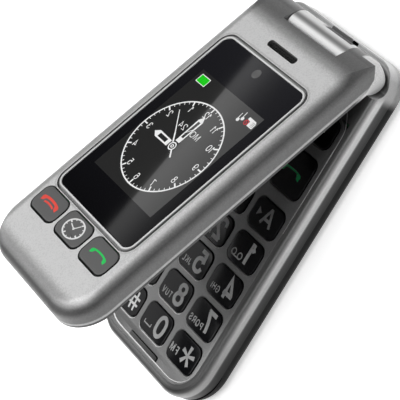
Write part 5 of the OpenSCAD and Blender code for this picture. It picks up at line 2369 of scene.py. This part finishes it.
@dataclass(frozen=True)
class Shells:
    """Nodes whose own solids stay in view, each with its finish.

    Attributes:
        finishes: Each finish with the nodes that get it.
    """

    finishes: tuple[tuple[Finish, str], ...] = (
        (FRAME_SILVER, "base_frame"),
        (DARK_CASE, "back_housing"),
        (COVER_BLACK, "battery_cover"),
        (CELL_GREY, "battery"),
        (GOLD, "battery_contacts"),
        (BOARD_GREEN, "main_board lid_board"),
        (DOME_STEEL, "key_domes lid_domes"),
        (PAD_GREY, "end_pad"),
        (BARREL_WHITE, "hinge_barrel"),
        (STEEL, "hinge_shaft hinge_cartridge vibration_motor microphone charge_socket lid_magnet"),
        (BRASS, "hinge_bush"),
        (TORCH_GREY, "torch_window"),
        (LED_RESIN, "torch_led"),
        (SPEAKER_BLACK, "loudspeaker camera_module earpiece"),
        (SCREW_STEEL, "base_screws lid_screws"),
        (FILM_AMBER, "flex_cable"),
        (LID_SILVER, "lid_outer"),
        (INNER_SHELL_GREY, "lid_inner"),
        (BRIGHT_TRIM, "window_rim"),
        (DISPLAY_BACK, "outer_display inner_display"),
        (DARK_GLASS, "inner_glass"),
        (MESH_DARK, "speaker_mesh"),
        (RUBBER, "lid_bumpers"),
    )

    def dress(self, nodes: dict[str, bpy.types.Object]) -> None:
        """Gives every carried-over node its finish.

        Args:
            nodes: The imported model's nodes by name.
        """
        for finish, names in self.finishes:
            for node in names.split():
                materials = nodes[node].data.materials
                for i in range(len(materials)):
                    materials[i] = finish.material()
                LOG.info("node %s keeps its solid, finish %s", node, finish.name)


# ---- studio ----


def area_lamp(name: str, size: Point, power: float) -> bpy.types.Object:
    """A rectangular lamp at the origin.

    Args:
        name: Its name.
        size: Width and height in metres.
        power: Power in watts.

    Returns:
        The lamp object.
    """
    data = bpy.data.lights.new(name, "AREA")
    data.shape = "RECTANGLE"
    data.size, data.size_y = size
    data.energy = power
    return linked(name, data)


def set_axes(thing: bpy.types.Object, place: Vector, axes: Sequence[Vector]) -> None:
    """Puts a lamp or camera at a place, with its own axes along given directions."""
    turn = Matrix([Vector(axis) for axis in axes]).transposed().to_4x4()
    thing.matrix_world = Matrix.Translation(place) @ turn


@dataclass(frozen=True)
class PhotoCamera:
    """The camera at the photograph's place and turn, in the row frame.

    Attributes:
        place: Its place in metres.
        right: The picture's direction to the right.
        down: The picture's direction down.
        ahead: Where it looks.
        lens: Focal length.
        sensor: Width of its sensor.
    """

    place: Colour = (0.384149, 0.099527, 0.372039)
    right: Colour = (0.50241181, 0.50573857, -0.70129229)
    down: Colour = (0.47156303, -0.84011542, -0.26801939)
    ahead: Colour = (-0.7247142, -0.19604741, -0.66057152)
    lens: float = 161.9
    sensor: float = 36.0

    def build(self) -> bpy.types.Object:
        """Makes the camera and makes it the scene's own.

        Returns:
            The camera object.
        """
        data = bpy.data.cameras.new("photo_camera")
        data.lens, data.sensor_width = self.lens, self.sensor
        data.clip_start, data.clip_end = 0.01, 20.0
        camera = linked("photo_camera", data)
        set_axes(camera, self.place, (self.right, -Vector(self.down), -Vector(self.ahead)))
        bpy.context.scene.camera = camera
        return camera


@dataclass(frozen=True)
class MirrorPanel:
    """A dim lamp panel whose one edge is mirrored along a chosen line of a glossy face.

    Attributes:
        name: Its name.
        line: Two points of the face, in millimetres, where the panel's edge is seen.
        inner: A point of the face that mirrors the inside of the panel.
        normal: The face's direction.
        reach: Distance of the panel from the face in metres.
        extent: Depth of the panel in metres.
        spare: How far the panel goes on past both ends of the line, in metres.
        radiance: Its light.
        fall: Light by the distance from the edge in metres, as shares.
    """

    name: str
    line: tuple[Colour, Colour]
    inner: Colour
    normal: Colour
    reach: float
    extent: float
    spare: float
    radiance: float
    fall: Stops = ((0.0, 1.0), (1.0, 1.0))

    def _mirrored(self, spot: Colour) -> Vector:
        """Where the camera's ray at a point of the face lands after the mirror.

        Args:
            spot: The point in millimetres.

        Returns:
            The place in metres.
        """
        point = Vector(spot) * MM
        ray = (point - Vector(PhotoCamera.place)).normalized()
        normal = Vector(self.normal).normalized()
        return point + (ray - 2 * ray.dot(normal) * normal) * self.reach

    def build(self) -> bpy.types.Object:
        """Hangs the panel.

        Returns:
            The lamp object.
        """
        first, last, inner = (self._mirrored(spot) for spot in (*self.line, self.inner))
        edge = (last - first).normalized()
        inward = inner - first
        inward = (inward - inward.dot(edge) * edge).normalized()
        middle = (first + last) / 2 + inward * self.extent / 2
        away = edge.cross(inward)
        if away.dot(middle) < 0:
            edge, away = -edge, -away
        width = (last - first).length + 2 * self.spare
        power = self.radiance * math.pi * width * self.extent
        lamp = area_lamp(self.name, (width, self.extent), power)
        lamp.data.use_nodes = True
        graph = Graph(lamp.data.node_tree)
        spots = graph.node("ShaderNodeNewGeometry").outputs["Parametric"]
        across = graph.number(graph.node("ShaderNodeSeparateXYZ", None, {0: spots}), 1)
        shine = graph.neutral(graph.stops(across * self.extent, self.fall))
        glow = graph.node("ShaderNodeEmission", None, {"Color": shine, "Strength": 1.0})
        graph.node("ShaderNodeOutputLight", None, {0: glow.outputs[0]})
        set_axes(lamp, middle, (edge, inward, away))
        return lamp


@dataclass(frozen=True)
class Studio:
    """Pale floor, soft lamps and a plain surrounding.

    Attributes:
        floor_size: Width of the floor in metres.
        floor_parts: Parts of the floor along one side.
        floor_z: Height of the floor, a little under the phone.
        floor_tone: Its colour.
        floor_glow: Light that lifts the floor to white where it is looked at.
        horizon: Light of the surrounding at the horizon.
        zenith: Light of the surrounding overhead.
        softbox: Place, width and power of the overhead lamp.
        window_spots: Points of the window, in the closed lid's sizes, that its panel's edge and
            its inside are mirrored in.
        window_fall: Light of that panel by the distance from its edge.
        key_spots: The same points of the key tops, for their own panel.
    """

    floor_size: float = 8.0
    floor_parts: int = 8
    floor_z: float = -0.0002
    floor_tone: float = 0.93
    floor_glow: float = 0.5
    horizon: float = 0.6
    zenith: float = 0.03
    softbox: tuple[Colour, float, float] = ((-0.15, -0.2, 1.4), 1.6, 26.0)
    window_spots: tuple[Point, ...] = ((-7.1, 35.7), (8.9, -30.7), (15.0, 0.0))
    window_fall: Stops = (
        (0.0, 1.0), (0.006, 0.95), (0.014, 0.7), (0.024, 0.32), (0.036, 0.1), (0.055, 0.03),
        (0.7, 0.0),
    )  # fmt: skip
    key_spots: tuple[Point, ...] = ((6.5, -62.0), (6.5, 8.0), (-20.0, -10.0))

    def _floor(self) -> None:
        """A plain floor that still shows the phone's shadow."""
        sides = self.floor_parts + 1
        places = [self.floor_size * (i / self.floor_parts - 0.5) for i in range(sides)]
        points = [(x, y, self.floor_z) for y in places for x in places]
        starts = [j * sides + i for j in range(self.floor_parts) for i in range(self.floor_parts)]
        mesh = bpy.data.meshes.new("studio_floor")
        mesh.from_pydata(points, [], [(i, i + 1, sides + i + 1, sides + i) for i in starts])
        material = bpy.data.materials.new("floor_white")
        material.use_nodes = True
        graph = Graph(material.node_tree)
        rays = graph.node("ShaderNodeLightPath")
        seen = graph.number(rays, "Is Camera Ray").greater(graph.number(rays, "Is Glossy Ray"))
        seen = seen.greater(graph.number(rays, "Is Transmission Ray"))
        low = grey(self.floor_tone - 0.01)
        sockets = {
            "Base Color": graph.blend(graph.noise(300.0), low, grey(self.floor_tone)),
            "Roughness": 0.9,
            "Specular IOR Level": 0.1,
            "Emission Color": graph.blend(seen, grey(0.0), grey(self.floor_glow)),
            "Emission Strength": 1.0,
        }
        shader = graph.node("ShaderNodeBsdfPrincipled", None, sockets)
        graph.node("ShaderNodeOutputMaterial", None, {"Surface": shader.outputs[0]})
        mesh.materials.append(material)
        linked("studio_floor", mesh)

    def _world(self) -> None:
        """A surrounding that is pale at the horizon and quieter overhead."""
        world = bpy.data.worlds.new("studio")
        bpy.context.scene.world = world
        world.use_nodes = True
        graph = Graph(world.node_tree)
        way = graph.node("ShaderNodeTexCoord").outputs["Generated"]
        up = graph.number(graph.node("ShaderNodeSeparateXYZ", None, {0: way}), 2)
        colour = graph.blend(up.step(0.02, 0.3), grey(self.horizon), grey(self.zenith))
        ground = graph.node("ShaderNodeBackground", None, {"Color": colour, "Strength": 1.0})
        graph.node("ShaderNodeOutputWorld", None, {"Surface": ground.outputs[0]})

    def _lamps(self) -> None:
        """Overhead softbox, and the dim panels that window and keys mirror."""
        place, width, power = self.softbox
        lamp = area_lamp("overhead_softbox", (width, width), power)
        lamp.location = place
        lamp.rotation_mode = "QUATERNION"
        lamp.rotation_quaternion = Vector(place).to_track_quat("Z", "Y")
        first, last, inner = (
            tuple(SIZES.lid_turn() @ Vector((*spot, SIZES.window_z))) for spot in self.window_spots
        )
        MirrorPanel(
            "window_panel", (first, last), inner, tuple(LID_UP),
            reach=1.0, extent=0.7, spare=0.35, radiance=1.0, fall=self.window_fall,
        ).build()  # fmt: skip
        first, last, inner = ((x, y, SIZES.key_top) for x, y in self.key_spots)
        MirrorPanel(
            "key_panel", (first, last), inner, (0.0, 0.0, 1.0),
            reach=0.35, extent=0.3, spare=0.0, radiance=1.1,
        ).build()  # fmt: skip

    def build(self) -> None:
        """Sets up the studio."""
        self._floor()
        self._world()
        self._lamps()
        bpy.context.scene.view_settings.view_transform = "Standard"


def main() -> None:
    logging.basicConfig(level=logging.INFO, format="%(name)s: %(message)s")
    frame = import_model()
    PhotoCamera().build()
    Studio().build()
    Shells().dress(frame["nodes"])
    caps = Keypad().build()
    KeypadPlate().build(caps)
    EdgeLines().build(caps)
    OuterWindow().build()
    ClockDisplay().build()
    LidKeys().build()


if __name__ == "__main__":
    main()
